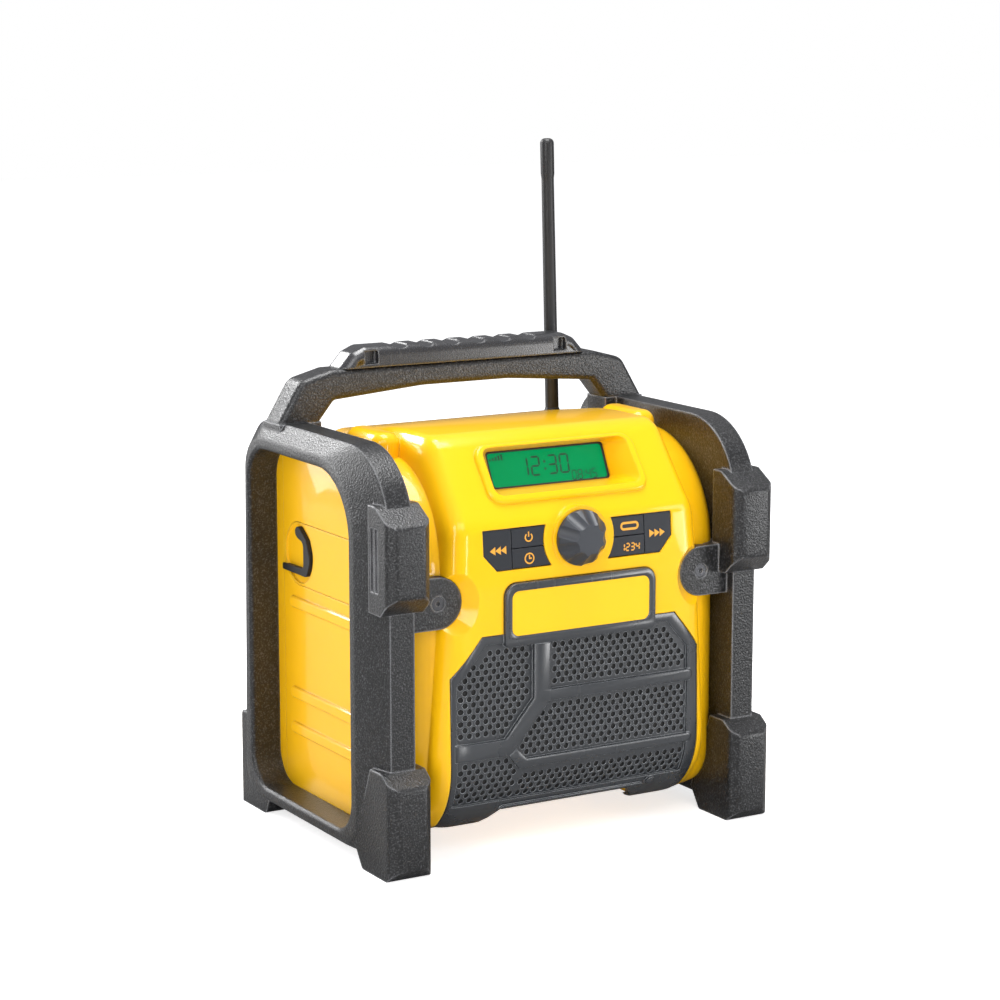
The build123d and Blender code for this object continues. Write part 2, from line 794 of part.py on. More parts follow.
def keys():
    """Three keys on the right of the knob: inner top, inner low, and the tall outer one."""
    group = key_group()
    inner_x = (key_inner_x + key_split_x) / 2
    inner_wide = key_split_x - key_inner_x - 2 * seam
    top = Pos(inner_x, (key_split_z + key_top_z) / 2)
    top *= Rectangle(inner_wide, key_top_z - key_split_z - 2 * seam)
    low = Pos(inner_x, (key_split_z + key_low_z) / 2)
    low *= Rectangle(inner_wide, key_split_z - key_low_z - 2 * seam)
    tall = Pos((key_split_x + key_outer_x) / 2 + seam, (key_low_z + key_top_z) / 2)
    tall *= Rectangle(key_outer_x - key_split_x, key_top_z - key_low_z)
    return [key_solid(group & window) for window in (top, low, tall)]


def tuning_knob():
    back = knob_boss_y - air
    profile = outline([
        (0, 0, 0), (knob_base_r, 0, 0), (knob_base_r, knob_skirt, 1.0),
        (knob_front_r, knob_high, 1.6), (0, knob_high, 0)])
    knob = revolve(Plane.XZ * profile, axis=Axis.Z)
    taper = atan2(knob_base_r - knob_front_r, knob_high - knob_skirt)
    away = knob_flute_r - knob_flute_deep
    middle_r = (knob_base_r + knob_front_r) / 2 + away * cos(taper)
    middle_z = (knob_high + knob_skirt) / 2 + away * sin(taper)
    flute = Pos(middle_r, 0, middle_z) * Rot(0, -degrees(taper), 0) * Cylinder(knob_flute_r, 2 * knob_high)
    for index in range(knob_flutes):
        knob -= Rot(0, 0, 360 * index / knob_flutes) * flute
    knob -= Pos(0, 0, shaft_depth / 2) * Cylinder(shaft_r, shaft_depth)
    return Pos(0, back, knob_z) * Rot(90, 0, 0) * knob


def encoder():
    back = key_back_y + dome_high + mat_thick + key_travel
    half = encoder_size / 2
    body = block(-half, half, back - 6, back, knob_z - half, knob_z + half)
    body += rod_y(0, knob_z, bush_r, knob_boss_y, back - 5)
    body -= rod_y(0, knob_z, shaft_r + running, knob_boss_y - 1, back - 2)
    shaft = rod_y(0, knob_z, shaft_r, knob_boss_y - air - shaft_depth, back - 2 - air)
    return body, shaft


def keypad():
    """Rubber mat with a dome behind each key, and the board behind it."""
    mat_y = key_back_y + key_travel + 0.1 + dome_high
    half = key_outer_x + 2
    mat = block(-half, half, mat_y, mat_y + mat_thick, key_low_z - 2, key_top_z + 2)
    inner_x = (key_inner_x + key_split_x) / 2
    outer_x = (key_split_x + key_outer_x) / 2
    top_z, low_z = (key_split_z + key_top_z) / 2, (key_split_z + key_low_z) / 2
    spots = [(inner_x, top_z), (inner_x, low_z), (outer_x, knob_z)]
    for side in (-1, 1):
        for x, z in spots:
            mat += rod_y(side * x, z, 3.2, mat_y - dome_high, mat_y)
    mat -= block(-encoder_size / 2 - 1, encoder_size / 2 + 1, mat_y - 1, mat_y + 5,
                 knob_z - encoder_size / 2 - 1, knob_z + encoder_size / 2 + 1)
    board_y = mat_y + mat_thick
    board = block(-half, half, board_y, board_y + board_thick, key_low_z - 2, key_top_z + 2)
    room = prism_x(block_outline(wall + seam), -half, half)
    return mat & room, board & room


# ================================================================ display
def display():
    half, high = window_half_x + glass_margin - 0.2, window_high + 2 * glass_margin - 0.4
    hole = layer(window_half_x - gasket_show, window_high - 2 * gasket_show, window_r, 0.01, gasket_thick + 1)
    gasket = layer(half, high, 2, 0.05, gasket_thick) - hole
    window = layer(half, high, 2, 0.05 + gasket_thick, glass_thick)
    panel = layer(half, high, 2, 0.05 + gasket_thick + glass_thick, lcd_thick)
    board = layer(half, high, 2, 0.05 + gasket_thick + glass_thick + lcd_thick, board_thick)
    return gasket, window, panel, board


# ================================================================ speakers
def speaker(side):
    """Basket, cone and magnet of one driver, facing the front."""
    flange = 2.5
    neck = magnet_r - 4
    basket = outline([
        (speaker_hole_r, 0, 0), (speaker_r, 0, 0), (speaker_r, flange, 0),
        (speaker_hole_r + 1.5, flange, 0), (neck + 1.5, speaker_deep, 0), (0, speaker_deep, 0),
        (0, speaker_deep - 1.5, 0), (neck, speaker_deep - 1.5, 0)])
    rim = speaker_hole_r - 1.4
    cone = outline([
        (rim, 1.5, 0), (rim, 1.5 + cone_thick, 0),
        (9, 18 + cone_thick, 0), (0, 18 + cone_thick, 0), (0, 12, 0), (9, 18, 0)])
    magnet = Pos(0, 0, speaker_deep + magnet_thick / 2) * Cylinder(magnet_r, magnet_thick)
    solids = [revolve(Plane.XZ * basket, axis=Axis.Z), revolve(Plane.XZ * cone, axis=Axis.Z), magnet]
    place = Pos(side * speaker_x, speaker_flange_y, speaker_z) * Rot(-90, 0, 0)
    return [place * solid for solid in solids]


# ================================================================ AUX flap
def aux_flap():
    plate = prism_x(flap_sketch(), -end_x, flap_thick - end_x)
    knuckle_low = flap_z - flap_r + ear_high + seam
    knuckle_top = flap_z + flap_r - ear_high - seam
    axis_x = -end_x - hinge_out
    web = Pos(-end_x + flap_thick / 2 - 0.8, (hinge_y + flap_front_y) / 2)
    web *= Rectangle(1.4, flap_front_y - hinge_y + 1)
    knuckle = prism_z(Pos(axis_x, hinge_y) * Circle(knuckle_r) + web, knuckle_low, knuckle_top)
    plate += knuckle
    plate -= prism_z(Pos(axis_x, hinge_y) * Circle(pin_r + running), knuckle_low - 1, knuckle_top + 1)
    plate -= prism_x(Pos(flap_y, flap_z) * Circle(flap_r - 1), -end_x - 1, dish_deep - end_x)
    pin = prism_z(Pos(axis_x, hinge_y) * Circle(pin_r), flap_z - flap_r, flap_z + flap_r)
    return plate, pin


def flap_pull():
    """Hooked finger pull bonded in the flap's dish."""
    hook = outline([
        (flap_y + 20, flap_z - 12.5, 1.2), (flap_y + 20, flap_z - 8.5, 1.2), (flap_y - 8, flap_z - 8.0, 3),
        (flap_y - 8, flap_z + 8, 4), (flap_y - 1, flap_z + 9.5, 2), (flap_y + 5, flap_z + 13, 3),
        (flap_y - 1, flap_z + 17.5, 3.5), (flap_y - 12, flap_z + 10, 6), (flap_y - 17, flap_z - 2, 8),
        (flap_y - 12, flap_z - 12.5, 4)])
    root = prism_x(hook & Pos(flap_y, flap_z) * Circle(flap_r - 1.1), -end_x - 1, dish_deep - end_x)
    return root + prism_x(hook, -end_x - pull_thick, -end_x - seam)


def aux_jack():
    low = flap_pocket - end_x - 1
    spot = Pos(jack_y, flap_z)
    barrel = prism_x(spot * (Circle(jack_r) - Circle(jack_bore_r)), low, low + 13)
    return barrel + prism_x(spot * (Rectangle(11, 11) - Circle(jack_bore_r)), low + 3, low + 13)


# ================================================================ guards
def guard_outline(inset=0.0):
    face = outline([
        (guard_front_y, guard_bottom_z, guard_bottom_r),
        (guard_rear_low_y, guard_bottom_z, guard_bottom_r),
        (guard_rear_top_y, guard_top_z, guard_rear_r),
        (guard_front_y, guard_top_z, guard_front_r),
    ])
    return offset(face, amount=-inset) if inset else face


def lip_outline():
    return outline([
        (lip_front_y, lip_bottom_z, guard_bottom_r - 2),
        (lip_rear_low_y, lip_bottom_z, guard_bottom_r - 2),
        (lip_rear_top_y, lip_top_z, lip_rear_r),
        (lip_front_y, lip_top_z, lip_front_r),
    ])


def recess_outline():
    return outline([
        (recess_front_y, recess_bottom_z, recess_rear_r),
        (recess_rear_y, recess_bottom_z, recess_rear_r),
        (recess_rear_y, recess_top_z, recess_rear_r),
        (recess_front_y, recess_top_z, recess_front_r),
    ])


def nose_plan():
    """Plan of the bumpers and feet: bevels on both sides of the front and rear faces."""
    front, rear = foot_front_y + nose_bevel_y, foot_rear_y - nose_bevel_y
    inner, outer = foot_inner_x + nose_bevel_x, foot_outer_x - nose_bevel_x
    return outline([
        (foot_inner_x, front, nose_r), (inner, foot_front_y, nose_r),
        (outer, foot_front_y, nose_r), (foot_outer_x, front, nose_r),
        (foot_outer_x, rear, nose_r), (outer, foot_rear_y, nose_r),
        (inner, foot_rear_y, nose_r), (foot_inner_x, rear, nose_r),
    ])


def bumper():
    low_z = bumper_mid_z - bumper_high / 2
    high_z = low_z + bumper_high
    side = outline([
        (nose_rear_y, low_z - bumper_under, 0), (nose_rear_y, high_z + bumper_slope, 0),
        (bumper_top_y, high_z + bumper_slope, nose_r), (foot_front_y, high_z, nose_r),
        (foot_front_y, low_z, nose_r), (guard_front_y, low_z - bumper_under, 0)])
    solid = prism_x(side, foot_inner_x, foot_outer_x) & prism_z(nose_plan(), 0, guard_top_z)
    slot_low = bumper_mid_z - bumper_slot_z / 2
    for index in range(2):
        low_y = bumper_slot_front + index * (bumper_slot_y + bumper_slot_web)
        solid -= block(foot_outer_x - bumper_slot_depth, foot_outer_x + 1, low_y, low_y + bumper_slot_y,
                       slot_low, slot_low + bumper_slot_z)
    return solid


def foot_block(side):
    """Foot from its side view, with bevelled flanks and sole."""
    front_view = outline([
        (foot_inner_x, foot_inner_cut_z, 4), (foot_inner_x + foot_cut_x, 0, 3),
        (foot_outer_x - foot_cut_x, 0, 3), (foot_outer_x, foot_outer_cut_z, 4),
        (foot_outer_x, guard_top_z, 0), (foot_inner_x, guard_top_z, 0)])
    block_solid = prism_x(side, foot_inner_x, foot_outer_x) & prism_z(nose_plan(), 0, guard_top_z)
    return block_solid & prism_y(front_view, foot_front_y, foot_rear_y)


def front_foot():
    side = outline([
        (nose_rear_y, front_foot_z + foot_slope, 0), (guard_front_y, front_foot_z + foot_slope, 0),
        (foot_front_y, front_foot_z, nose_r), (foot_front_y, foot_nose_z, 4),
        (foot_front_y + foot_nose_y, 0, 3),
        (foot_toe_y, 0, 3), (recess_front_y - 2, guard_bottom_z + 6, 0)])
    return foot_block(side)


def rear_foot():
    side = outline([
        (recess_rear_y, rear_foot_z + 10, 0), (recess_rear_y - 20, guard_bottom_z + 6, 0),
        (foot_heel_y, 0, 3),
        (foot_rear_y - 5, 0, 3), (foot_rear_y, 6, 3), (foot_rear_y, rear_foot_z, nose_r),
        (guard_rear_low_y - 2, rear_foot_z + 10, 0)])
    return foot_block(side)


def lug_plate(low, high):
    disc = Pos(lug_x, lug_z) * Circle(lug_r)
    bar = Pos((lug_x + guard_inner_x + 2) / 2, lug_z) * Rectangle(guard_inner_x + 2 - lug_x, 2 * lug_r)
    return prism_y(disc + bar, low, high)


def lug_arm():
    """Root of the front lug, which fills the corner between the lug and the collar's roll."""
    start = lug_x + 6
    return block(start, guard_inner_x + 1, lug_face_y, collar_y + collar_roll, lug_z - lug_r, lug_z + lug_r)


def right_guard():
    ring = prism_x(guard_outline(), guard_inner_x, guard_side_x)
    edges = [Plane.YZ.offset(guard_side_x) * guard_outline(), Plane.YZ.offset(lip_x) * lip_outline()]
    slope = loft(edges, ruled=True)
    solid = ring + slope + bumper() + front_foot() + rear_foot()
    solid += block(stub_inner_x, stub_outer_x, handle_front_y, handle_rear_y, collar_z, guard_top_z)
    solid -= prism_x(recess_outline(), end_x - 1, lip_x + 1)
    solid -= collar_body()
    solid = fillet(solid.faces().sort_by(Axis.X)[-1].edges(), lip_round)
    solid += lug_plate(lug_face_y, lug_seat_y) + (lug_arm() - collar_body())
    solid += lug_plate(rear_y, rear_y + rear_lug_thick)
    rear_face_y = rear_y + rear_lug_thick
    solid -= rod_y(lug_x, lug_z, guard_screw_r, lug_face_y - 1, rear_face_y + 1)
    solid -= rod_y(lug_x, lug_z, guard_screw_head, lug_face_y - 1, lug_face_y + guard_screw_sink)
    solid -= rod_y(lug_x, lug_z, guard_screw_head, rear_face_y - guard_screw_sink, rear_face_y + 1)
    solid -= leg_screw(0)
    return solid


def hex_socket(x, z, face_y, out, size=3.0, deep=1.4):
    """Hexagon socket in a screw head that faces along out (-1 front, +1 rear)."""
    low, high = (face_y - 0.5, face_y + deep) if out < 0 else (face_y - deep, face_y + 0.5)
    return prism_y(Pos(x, z) * RegularPolygon(size / 2, 6), low, high)


def guard_screws():
    head = 1.8
    front_head_y = lug_face_y + guard_screw_sink
    rear_head_y = rear_y + rear_lug_thick - guard_screw_sink
    front = rod_y(lug_x, lug_z, guard_screw_head - 0.2, front_head_y - head, front_head_y)
    front += rod_y(lug_x, lug_z, guard_screw_r, front_head_y, lug_seat_y + guard_screw_long - 3)
    front -= hex_socket(lug_x, lug_z, front_head_y - head, -1)
    rear = rod_y(lug_x, lug_z, guard_screw_head - 0.2, rear_head_y, rear_head_y + head)
    rear += rod_y(lug_x, lug_z, guard_screw_r, rear_y - 11, rear_head_y)
    rear -= hex_socket(lug_x, lug_z, rear_head_y + head, 1)
    return [front, rear, left_of(front), left_of(rear)]


# ================================================================ handle
def leg_screw(shrink):
    y = (handle_front_y + handle_rear_y) / 2
    head = Pos(leg_screw_x, y) * Circle(4.5 - shrink)
    shank = Pos(leg_screw_x, y) * Circle(2.4)
    return prism_z(head, recess_top_z - (1 if shrink == 0 else 0), recess_top_z + 4) + prism_z(
        shank, recess_top_z + 4, guard_top_z + 8)


def handle_frame():
    gap_z = handle_core_z - handle_thick
    right_leg = [(handle_gap_x, gap_z, 80), (handle_arm_x, gap_z - handle_fall, 4),
                 (stub_inner_x, guard_top_z, 0), (stub_outer_x, guard_top_z, 0),
                 (handle_knee_x, guard_top_z + handle_knee_rise, 10), (handle_shoulder_x, handle_core_z, 8)]
    left_leg = [(-x, z, radius) for x, z, radius in reversed(right_leg)]
    solid = prism_y(outline(right_leg + left_leg), handle_front_y, handle_rear_y)
    rims = solid.faces().filter_by(Axis.Y).edges()
    rims = rims.filter_by(lambda edge: edge.center().Z > guard_top_z + 0.1)
    solid = fillet(rims, handle_round)
    y = (handle_front_y + handle_rear_y) / 2
    hole = prism_z(Pos(leg_screw_x, y) * Circle(2.4), guard_top_z - 1, guard_top_z + 8)
    return solid - both_ends(hole)


def handle_grip():
    shoulder_z = grip_top_z - grip_shoulder_drop
    side = outline([
        (grip_foot_x, handle_core_z, 0), (grip_shoulder_x, shoulder_z, 6),
        (grip_half_x, grip_top_z, 6), (-grip_half_x, grip_top_z, 6),
        (-grip_shoulder_x, shoulder_z, 6), (-grip_foot_x, handle_core_z, 0)])
    solid = prism_y(side, handle_front_y - grip_over, handle_rear_y + grip_over)
    rims = solid.faces().filter_by(Axis.Y).edges()
    rims = rims.filter_by(lambda edge: edge.center().Z > handle_core_z + 0.1)
    solid = fillet(rims, grip_round)
    for index in range(groove_count):
        x = (index - (groove_count - 1) / 2) * groove_pitch
        groove_z = grip_top_z + groove_r - groove_depth
        solid -= rod_y(x, groove_z, groove_r, handle_front_y - 2, handle_rear_y + 2)
    for x in (-pocket_x, pocket_x):
        solid -= block(x - pocket_size / 2, x + pocket_size / 2, handle_front_y - 2,
                       handle_front_y + pocket_depth, grip_top_z - pocket_drop, grip_top_z - 2.5)
    return solid


# ================================================================ rear fittings
def battery_fittings():
    low_z = block_low_z
    top_y = bay_floor_y + block_thick
    body = block(-block_half_x, block_half_x, bay_floor_y, top_y, low_z, low_z + block_high)
    blades = []
    for index in range(blade_count):
        x = (index - (blade_count - 1) / 2) * blade_pitch
        low_y = bay_floor_y + (block_thick - blade_wide) / 2
        blade = block(x - blade_thick / 2, x + blade_thick / 2, low_y, low_y + blade_wide,
                      low_z - blade_long, low_z + 4)
        body -= blade
        blades.append(blade)
    return body, blades


def dc_socket():
    body = rod_y(dc_x, dc_z, dc_r, rear_y - dc_long, rear_y)
    body -= rod_y(dc_x, dc_z, dc_bore_r, rear_y - dc_long + 3, rear_y + 1)
    return body + rod_y(dc_x, dc_z, dc_pin_r, rear_y - dc_long + 2, rear_y - 2)


def backup_parts():
    gap = 0.15
    cover = block(door_x - door_half_x + gap, door_x + door_half_x - gap, rear_y - door_thick, rear_y,
                  door_z - door_half_z + gap, door_z + door_half_z - gap)
    screw_z = door_z + door_half_z - 4
    seat_y = rear_y - 1.2
    hole = rod_y(door_x, screw_z, 1.5, rear_y - 8, rear_y + 1)
    hole += rod_y(door_x, screw_z, 2.8, seat_y, rear_y + 1)
    screw = rod_y(door_x, screw_z, 1.5, rear_y - 7, seat_y) + rod_y(door_x, screw_z, 2.6, seat_y, rear_y)
    screw -= hex_socket(door_x, screw_z, rear_y, 1, size=2.0, deep=0.8)
    cells = [prism_z(Pos(door_x + sign * cell_pitch / 2, rear_y - door_thick - cell_r - 0.5) * Circle(cell_r),
                     door_z - cell_long / 2, door_z + cell_long / 2) for sign in (-1, 1)]
    return cover - hole, screw, cells


def cover_screws():
    screws = []
    for x, z in screw_spots():
        face = rear_y - head_thick - 1
        screw = rod_y(x, z, head_r - 0.2, face, face + head_thick)
        screw += rod_y(x, z, cover_screw_r, split_y - cover_boss_long + 6, face)
        screws.append(screw - hex_socket(x, z, face + head_thick, 1, size=2.4))
    return screws


def main_board():
    """Board on four posts in front of the battery bay."""
    back_y = main_board_y + board_thick
    board = block(-main_board_x, main_board_x, main_board_y, back_y, main_board_low, main_board_top)
    heights = (main_board_low + 8, main_board_top - 8)
    posts = [rod_y(sign * post_x, z, post_r, back_y, bay_floor_y - wall + 0.01)
             for sign in (-1, 1) for z in heights]
    return board, posts


# ================================================================ antenna
def antenna():
    seat_z = antenna_seat_z + ferrule_r * sin(radians(antenna_lean))
    base = Pos(antenna_x, antenna_y, seat_z) * Rot(0, -antenna_lean, 0)
    length = (antenna_tip_z - antenna_seat_z) / cos(radians(antenna_lean))
    ferrule = outline([
        (0, 0, 0), (ferrule_r, 0, 0), (ferrule_r, ferrule_high - 2, 0.8), (antenna_r, ferrule_high, 0),
        (0, ferrule_high, 0)])
    rod = outline([
        (0, ferrule_high, 0), (antenna_r, ferrule_high, 0), (antenna_r - 0.4, length - tip_cap - 3, 0),
        (antenna_r, length - tip_cap, 0), (antenna_r, length, 3.0), (0, length, 0)])
    return [base * revolve(Plane.XZ * profile, axis=Axis.Z) for profile in (ferrule, rod)]


# ================================================================ build
def build():
    blank = housing_blank()
    front = front_housing(blank)
    rear = rear_cover(blank)
    cover, cover_screw, cells = backup_parts()
    rear -= rod_y(door_x, door_z + door_half_z - 4, 1.5, rear_y - 8, rear_y)
    board, posts = main_board()
    for post in posts:
        rear += post
    save("front_housing", front)
    save("rear_cover", rear)
    save("speaker_grille", speaker_grille())
    save("badge_plate", badge_plate())
    gasket, window, panel, lcd_board = display()
    save("display_gasket", gasket)
    save("display_window", window)
    save("lcd_panel", panel)
    save("display_board", lcd_board)
    names = ("inner_top", "inner_low", "outer")
    for name, key in zip(names, keys()):
        save(f"right_key_{name}", key)
        save(f"left_key_{name}", left_of(key))
    save("tuning_knob", tuning_knob())
    body, shaft = encoder()
    save("encoder_body", body)
    save("knob_shaft", shaft)
    mat, key_board = keypad()
    save("keypad_mat", mat)
    save("keypad_board", key_board)
    for side, label in ((-1, "left"), (1, "right")):
        for part, name in zip(speaker(side), ("basket", "cone", "magnet")):
            save(f"{label}_speaker_{name}", part)
    flap, pin = aux_flap()
    save("aux_flap", flap)
    save("aux_hinge_pin", pin)
    save("aux_flap_pull", flap_pull())
    save("aux_jack", aux_jack())
    guard = right_guard()
    save("right_guard", guard)
    save("left_guard", left_of(guard))
    save("guard_screws", *guard_screws())
    save("handle_frame", handle_frame())
    save("handle_grip", handle_grip())
    save("handle_leg_screws", both_ends(leg_screw(0.2)))
    terminals, blades = battery_fittings()
    save("terminal_block", terminals)
    save("terminal_blades", *blades)
    save("dc_socket", dc_socket())
    save("backup_cover", cover)
    save("backup_cover_screw", cover_screw)
    save("backup_cells", *cells)
    save("cover_screws", *cover_screws())
    save("main_board", board)
    ferrule, rod = antenna()
    save("antenna_ferrule", ferrule)
    save("antenna_rod", rod)


build()
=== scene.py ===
"""Looks of the compact jobsite radio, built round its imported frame. Metres, +Z up, the front faces -Y."""
import json
import math

import bmesh
import bpy
from mathutils import Matrix, Vector


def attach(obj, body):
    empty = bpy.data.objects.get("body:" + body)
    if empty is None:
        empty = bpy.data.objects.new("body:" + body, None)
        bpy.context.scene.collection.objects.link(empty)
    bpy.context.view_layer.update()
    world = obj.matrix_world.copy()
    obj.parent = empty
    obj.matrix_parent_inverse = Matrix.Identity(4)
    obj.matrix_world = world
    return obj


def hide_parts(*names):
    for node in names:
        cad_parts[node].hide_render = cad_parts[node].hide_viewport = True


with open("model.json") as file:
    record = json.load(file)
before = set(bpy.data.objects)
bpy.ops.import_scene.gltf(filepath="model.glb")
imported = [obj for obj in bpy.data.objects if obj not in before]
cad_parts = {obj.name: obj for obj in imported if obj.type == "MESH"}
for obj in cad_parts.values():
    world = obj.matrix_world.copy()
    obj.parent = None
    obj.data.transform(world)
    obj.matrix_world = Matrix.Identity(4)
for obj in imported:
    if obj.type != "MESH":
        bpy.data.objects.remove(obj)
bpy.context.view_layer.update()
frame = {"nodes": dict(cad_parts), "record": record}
MM = 0.001
SHIFT_Y = 2.1 * MM                # Y measures are taken from a plane this far behind the frame's origin

# ---------------------------------------------------------------- camera and light
CAMERA_AT = Vector((-0.81479, -1.37853 + SHIFT_Y, 0.48228))
AIM_AT = Vector((0, SHIFT_Y, 0.19153))
LENS = 97.22
SENSOR = 36.0
LIT_POINT = Vector((0, 0, 0.15))  # every lamp is turned to this
LAMPS = {                         # name: (place, width and height, watts)
    "key_softbox": ((-0.5, -1.3, 1.35), (1.1, 0.7), 6.7),
    "left_softbox": ((-1.15, -0.75, 0.6), (0.3, 1.1), 7.0),
    "right_softbox": ((1.2, -1.05, 0.42), (0.4, 0.9), 5.0),
    "top_softbox": ((0.1, 0.0, 1.6), (1.0, 0.7), 23.0),
    "back_softbox": ((-0.55, 1.5, 1.1), (0.8, 0.4), 17.0),
    "rear_left_softbox": ((-0.95, 1.25, 0.42), (0.8, 0.7), 9.0),
    "front_card": ((0.05, -0.95, 0.16), (0.1, 0.28), 0.9),
    "right_card": ((0.78, -0.88, 0.16), (0.26, 0.3), 1.7),
}
WHITE = (1, 1, 1)
BLACK = (0, 0, 0)
ZENITH = (0.5, 0.5, 0.52)
HORIZON = (0.17, 0.17, 0.18)
FLOOR_HALF = 6.0
FLOOR_COLOUR = (0.84, 0.84, 0.84)
FLOOR_IN_GLOSS = (0.3, 0.3, 0.3)             # how bright the floor looks in reflections
FLOOR_GLOW = (0.7, 0.7, 0.7)                 # lifts the floor to white for the camera
FLOOR_ROUGHNESS = 0.9


def place_camera():
    data = bpy.data.cameras.new("studio_camera")
    data.lens = LENS
    data.sensor_width = SENSOR
    camera = bpy.data.objects.new("studio_camera", data)
    camera.location = CAMERA_AT
    camera.rotation_mode = "QUATERNION"
    camera.rotation_quaternion = (AIM_AT - CAMERA_AT).to_track_quat("-Z", "Y")
    bpy.context.scene.collection.objects.link(camera)
    bpy.context.scene.camera = camera


def place_lamps():
    for name, (spot, size, watts) in LAMPS.items():
        data = bpy.data.lights.new(name, "AREA")
        data.shape = "RECTANGLE"
        data.size, data.size_y = size
        data.energy = watts
        lamp = bpy.data.objects.new(name, data)
        lamp.location = spot
        lamp.rotation_mode = "QUATERNION"
        lamp.rotation_quaternion = (LIT_POINT - Vector(spot)).to_track_quat("-Z", "Y")
        lamp.visible_camera = False
        bpy.context.scene.collection.objects.link(lamp)


def calc(tree, operation, first, second, clamp=False):
    """Math node; each operand is a socket or a number."""
    node = tree.nodes.new("ShaderNodeMath")
    node.operation = operation
    node.use_clamp = clamp
    for operand, socket in ((first, node.inputs[0]), (second, node.inputs[1])):
        if isinstance(operand, (int, float)):
            socket.default_value = operand
        else:
            tree.links.new(operand, socket)
    return node.outputs["Value"]


def colour_mix(tree, factor, low, high):
    """Colour between two; each is a colour or a socket."""
    node = tree.nodes.new("ShaderNodeMixRGB")
    for side, socket in ((low, node.inputs["Color1"]), (high, node.inputs["Color2"])):
        if isinstance(side, tuple):
            socket.default_value = (*side, 1)
        else:
            tree.links.new(side, socket)
    tree.links.new(factor, node.inputs["Fac"])
    return node.outputs["Color"]


def set_world():
    """White to the camera; a studio that is bright overhead and dim at the horizon to everything else."""
    world = bpy.data.worlds.new("studio")
    bpy.context.scene.world = world
    world.use_nodes = True
    tree = world.node_tree
    direction = tree.nodes.new("ShaderNodeTexCoord")
    split = tree.nodes.new("ShaderNodeSeparateXYZ")
    tree.links.new(direction.outputs["Generated"], split.inputs["Vector"])
    height = calc(tree, "MAXIMUM", split.outputs["Z"], 0.0)
    studio = colour_mix(tree, height, HORIZON, ZENITH)
    path = tree.nodes.new("ShaderNodeLightPath")
    seen = calc(tree, "MAXIMUM", path.outputs["Is Camera Ray"], path.outputs["Is Transmission Ray"])
    tree.links.new(colour_mix(tree, seen, studio, WHITE), tree.nodes["Background"].inputs["Color"])


def lay_floor():
    """Pale floor that keeps the shadow and reads as white to the camera."""
    shape = bmesh.new()
    bmesh.ops.create_grid(shape, x_segments=1, y_segments=1, size=FLOOR_HALF)
    mesh = bpy.data.meshes.new("studio_floor")
    shape.to_mesh(mesh)
    shape.free()
    floor = bpy.data.objects.new("studio_floor", mesh)
    bpy.context.scene.collection.objects.link(floor)
    material = bpy.data.materials.new("studio_floor")
    material.use_nodes = True
    tree = material.node_tree
    body = tree.nodes["Principled BSDF"]
    body.inputs["Roughness"].default_value = FLOOR_ROUGHNESS
    body.inputs["Emission Strength"].default_value = 1.0
    path = tree.nodes.new("ShaderNodeLightPath")
    glow = colour_mix(tree, path.outputs["Is Camera Ray"], BLACK, FLOOR_GLOW)
    tree.links.new(glow, body.inputs["Emission Color"])
    colour = colour_mix(tree, path.outputs["Is Glossy Ray"], FLOOR_COLOUR, FLOOR_IN_GLOSS)
    tree.links.new(colour, body.inputs["Base Color"])
    mesh.materials.append(material)


place_camera()
place_lamps()
set_world()
lay_floor()
bpy.context.scene.view_settings.view_transform = "Standard"


# ---------------------------------------------------------------- shader groups
def new_group(name, inputs, outputs):
    """Empty node group with float inputs (name: value) and outputs (name: socket type)."""
    group = bpy.data.node_groups.new(name, "ShaderNodeTree")
    for label, value in inputs.items():
        socket = group.interface.new_socket(label, in_out="INPUT", socket_type="NodeSocketFloat")
        socket.default_value = value
    for label, kind in outputs.items():
        group.interface.new_socket(label, in_out="OUTPUT", socket_type=kind)
    return group, group.nodes.new("NodeGroupInput"), group.nodes.new("NodeGroupOutput")


def noise(group, scale, detail=4.0, roughness=0.55, stretch=(1, 1, 1)):
    """Noise on Object coordinates; scale is a socket or a number of waves per metre."""
    coords = group.nodes.new("ShaderNodeTexCoord")
    mapping = group.nodes.new("ShaderNodeMapping")
    mapping.inputs["Scale"].default_value = stretch
    texture = group.nodes.new("ShaderNodeTexNoise")
    texture.inputs["Detail"].default_value = detail
    texture.inputs["Roughness"].default_value = roughness
    group.links.new(coords.outputs["Object"], mapping.inputs["Vector"])
    group.links.new(mapping.outputs["Vector"], texture.inputs["Vector"])
    if isinstance(scale, (int, float)):
        texture.inputs["Scale"].default_value = scale
    else:
        group.links.new(scale, texture.inputs["Scale"])
    return texture.outputs["Fac"]


def pitted(group, scale):
    """Distance from the middles of soft round cells on Object coordinates."""
    coords = group.nodes.new("ShaderNodeTexCoord")
    texture = group.nodes.new("ShaderNodeTexVoronoi")
    texture.feature = "SMOOTH_F1"
    group.links.new(coords.outputs["Object"], texture.inputs["Vector"])
    group.links.new(scale, texture.inputs["Scale"])
    return texture.outputs["Distance"]


def above(group, value, floor, gain):
    """How far a value is over a floor, stretched by the gain and held between 0 and 1."""
    return calc(group, "MULTIPLY", calc(group, "SUBTRACT", value, floor, clamp=True), gain, clamp=True)


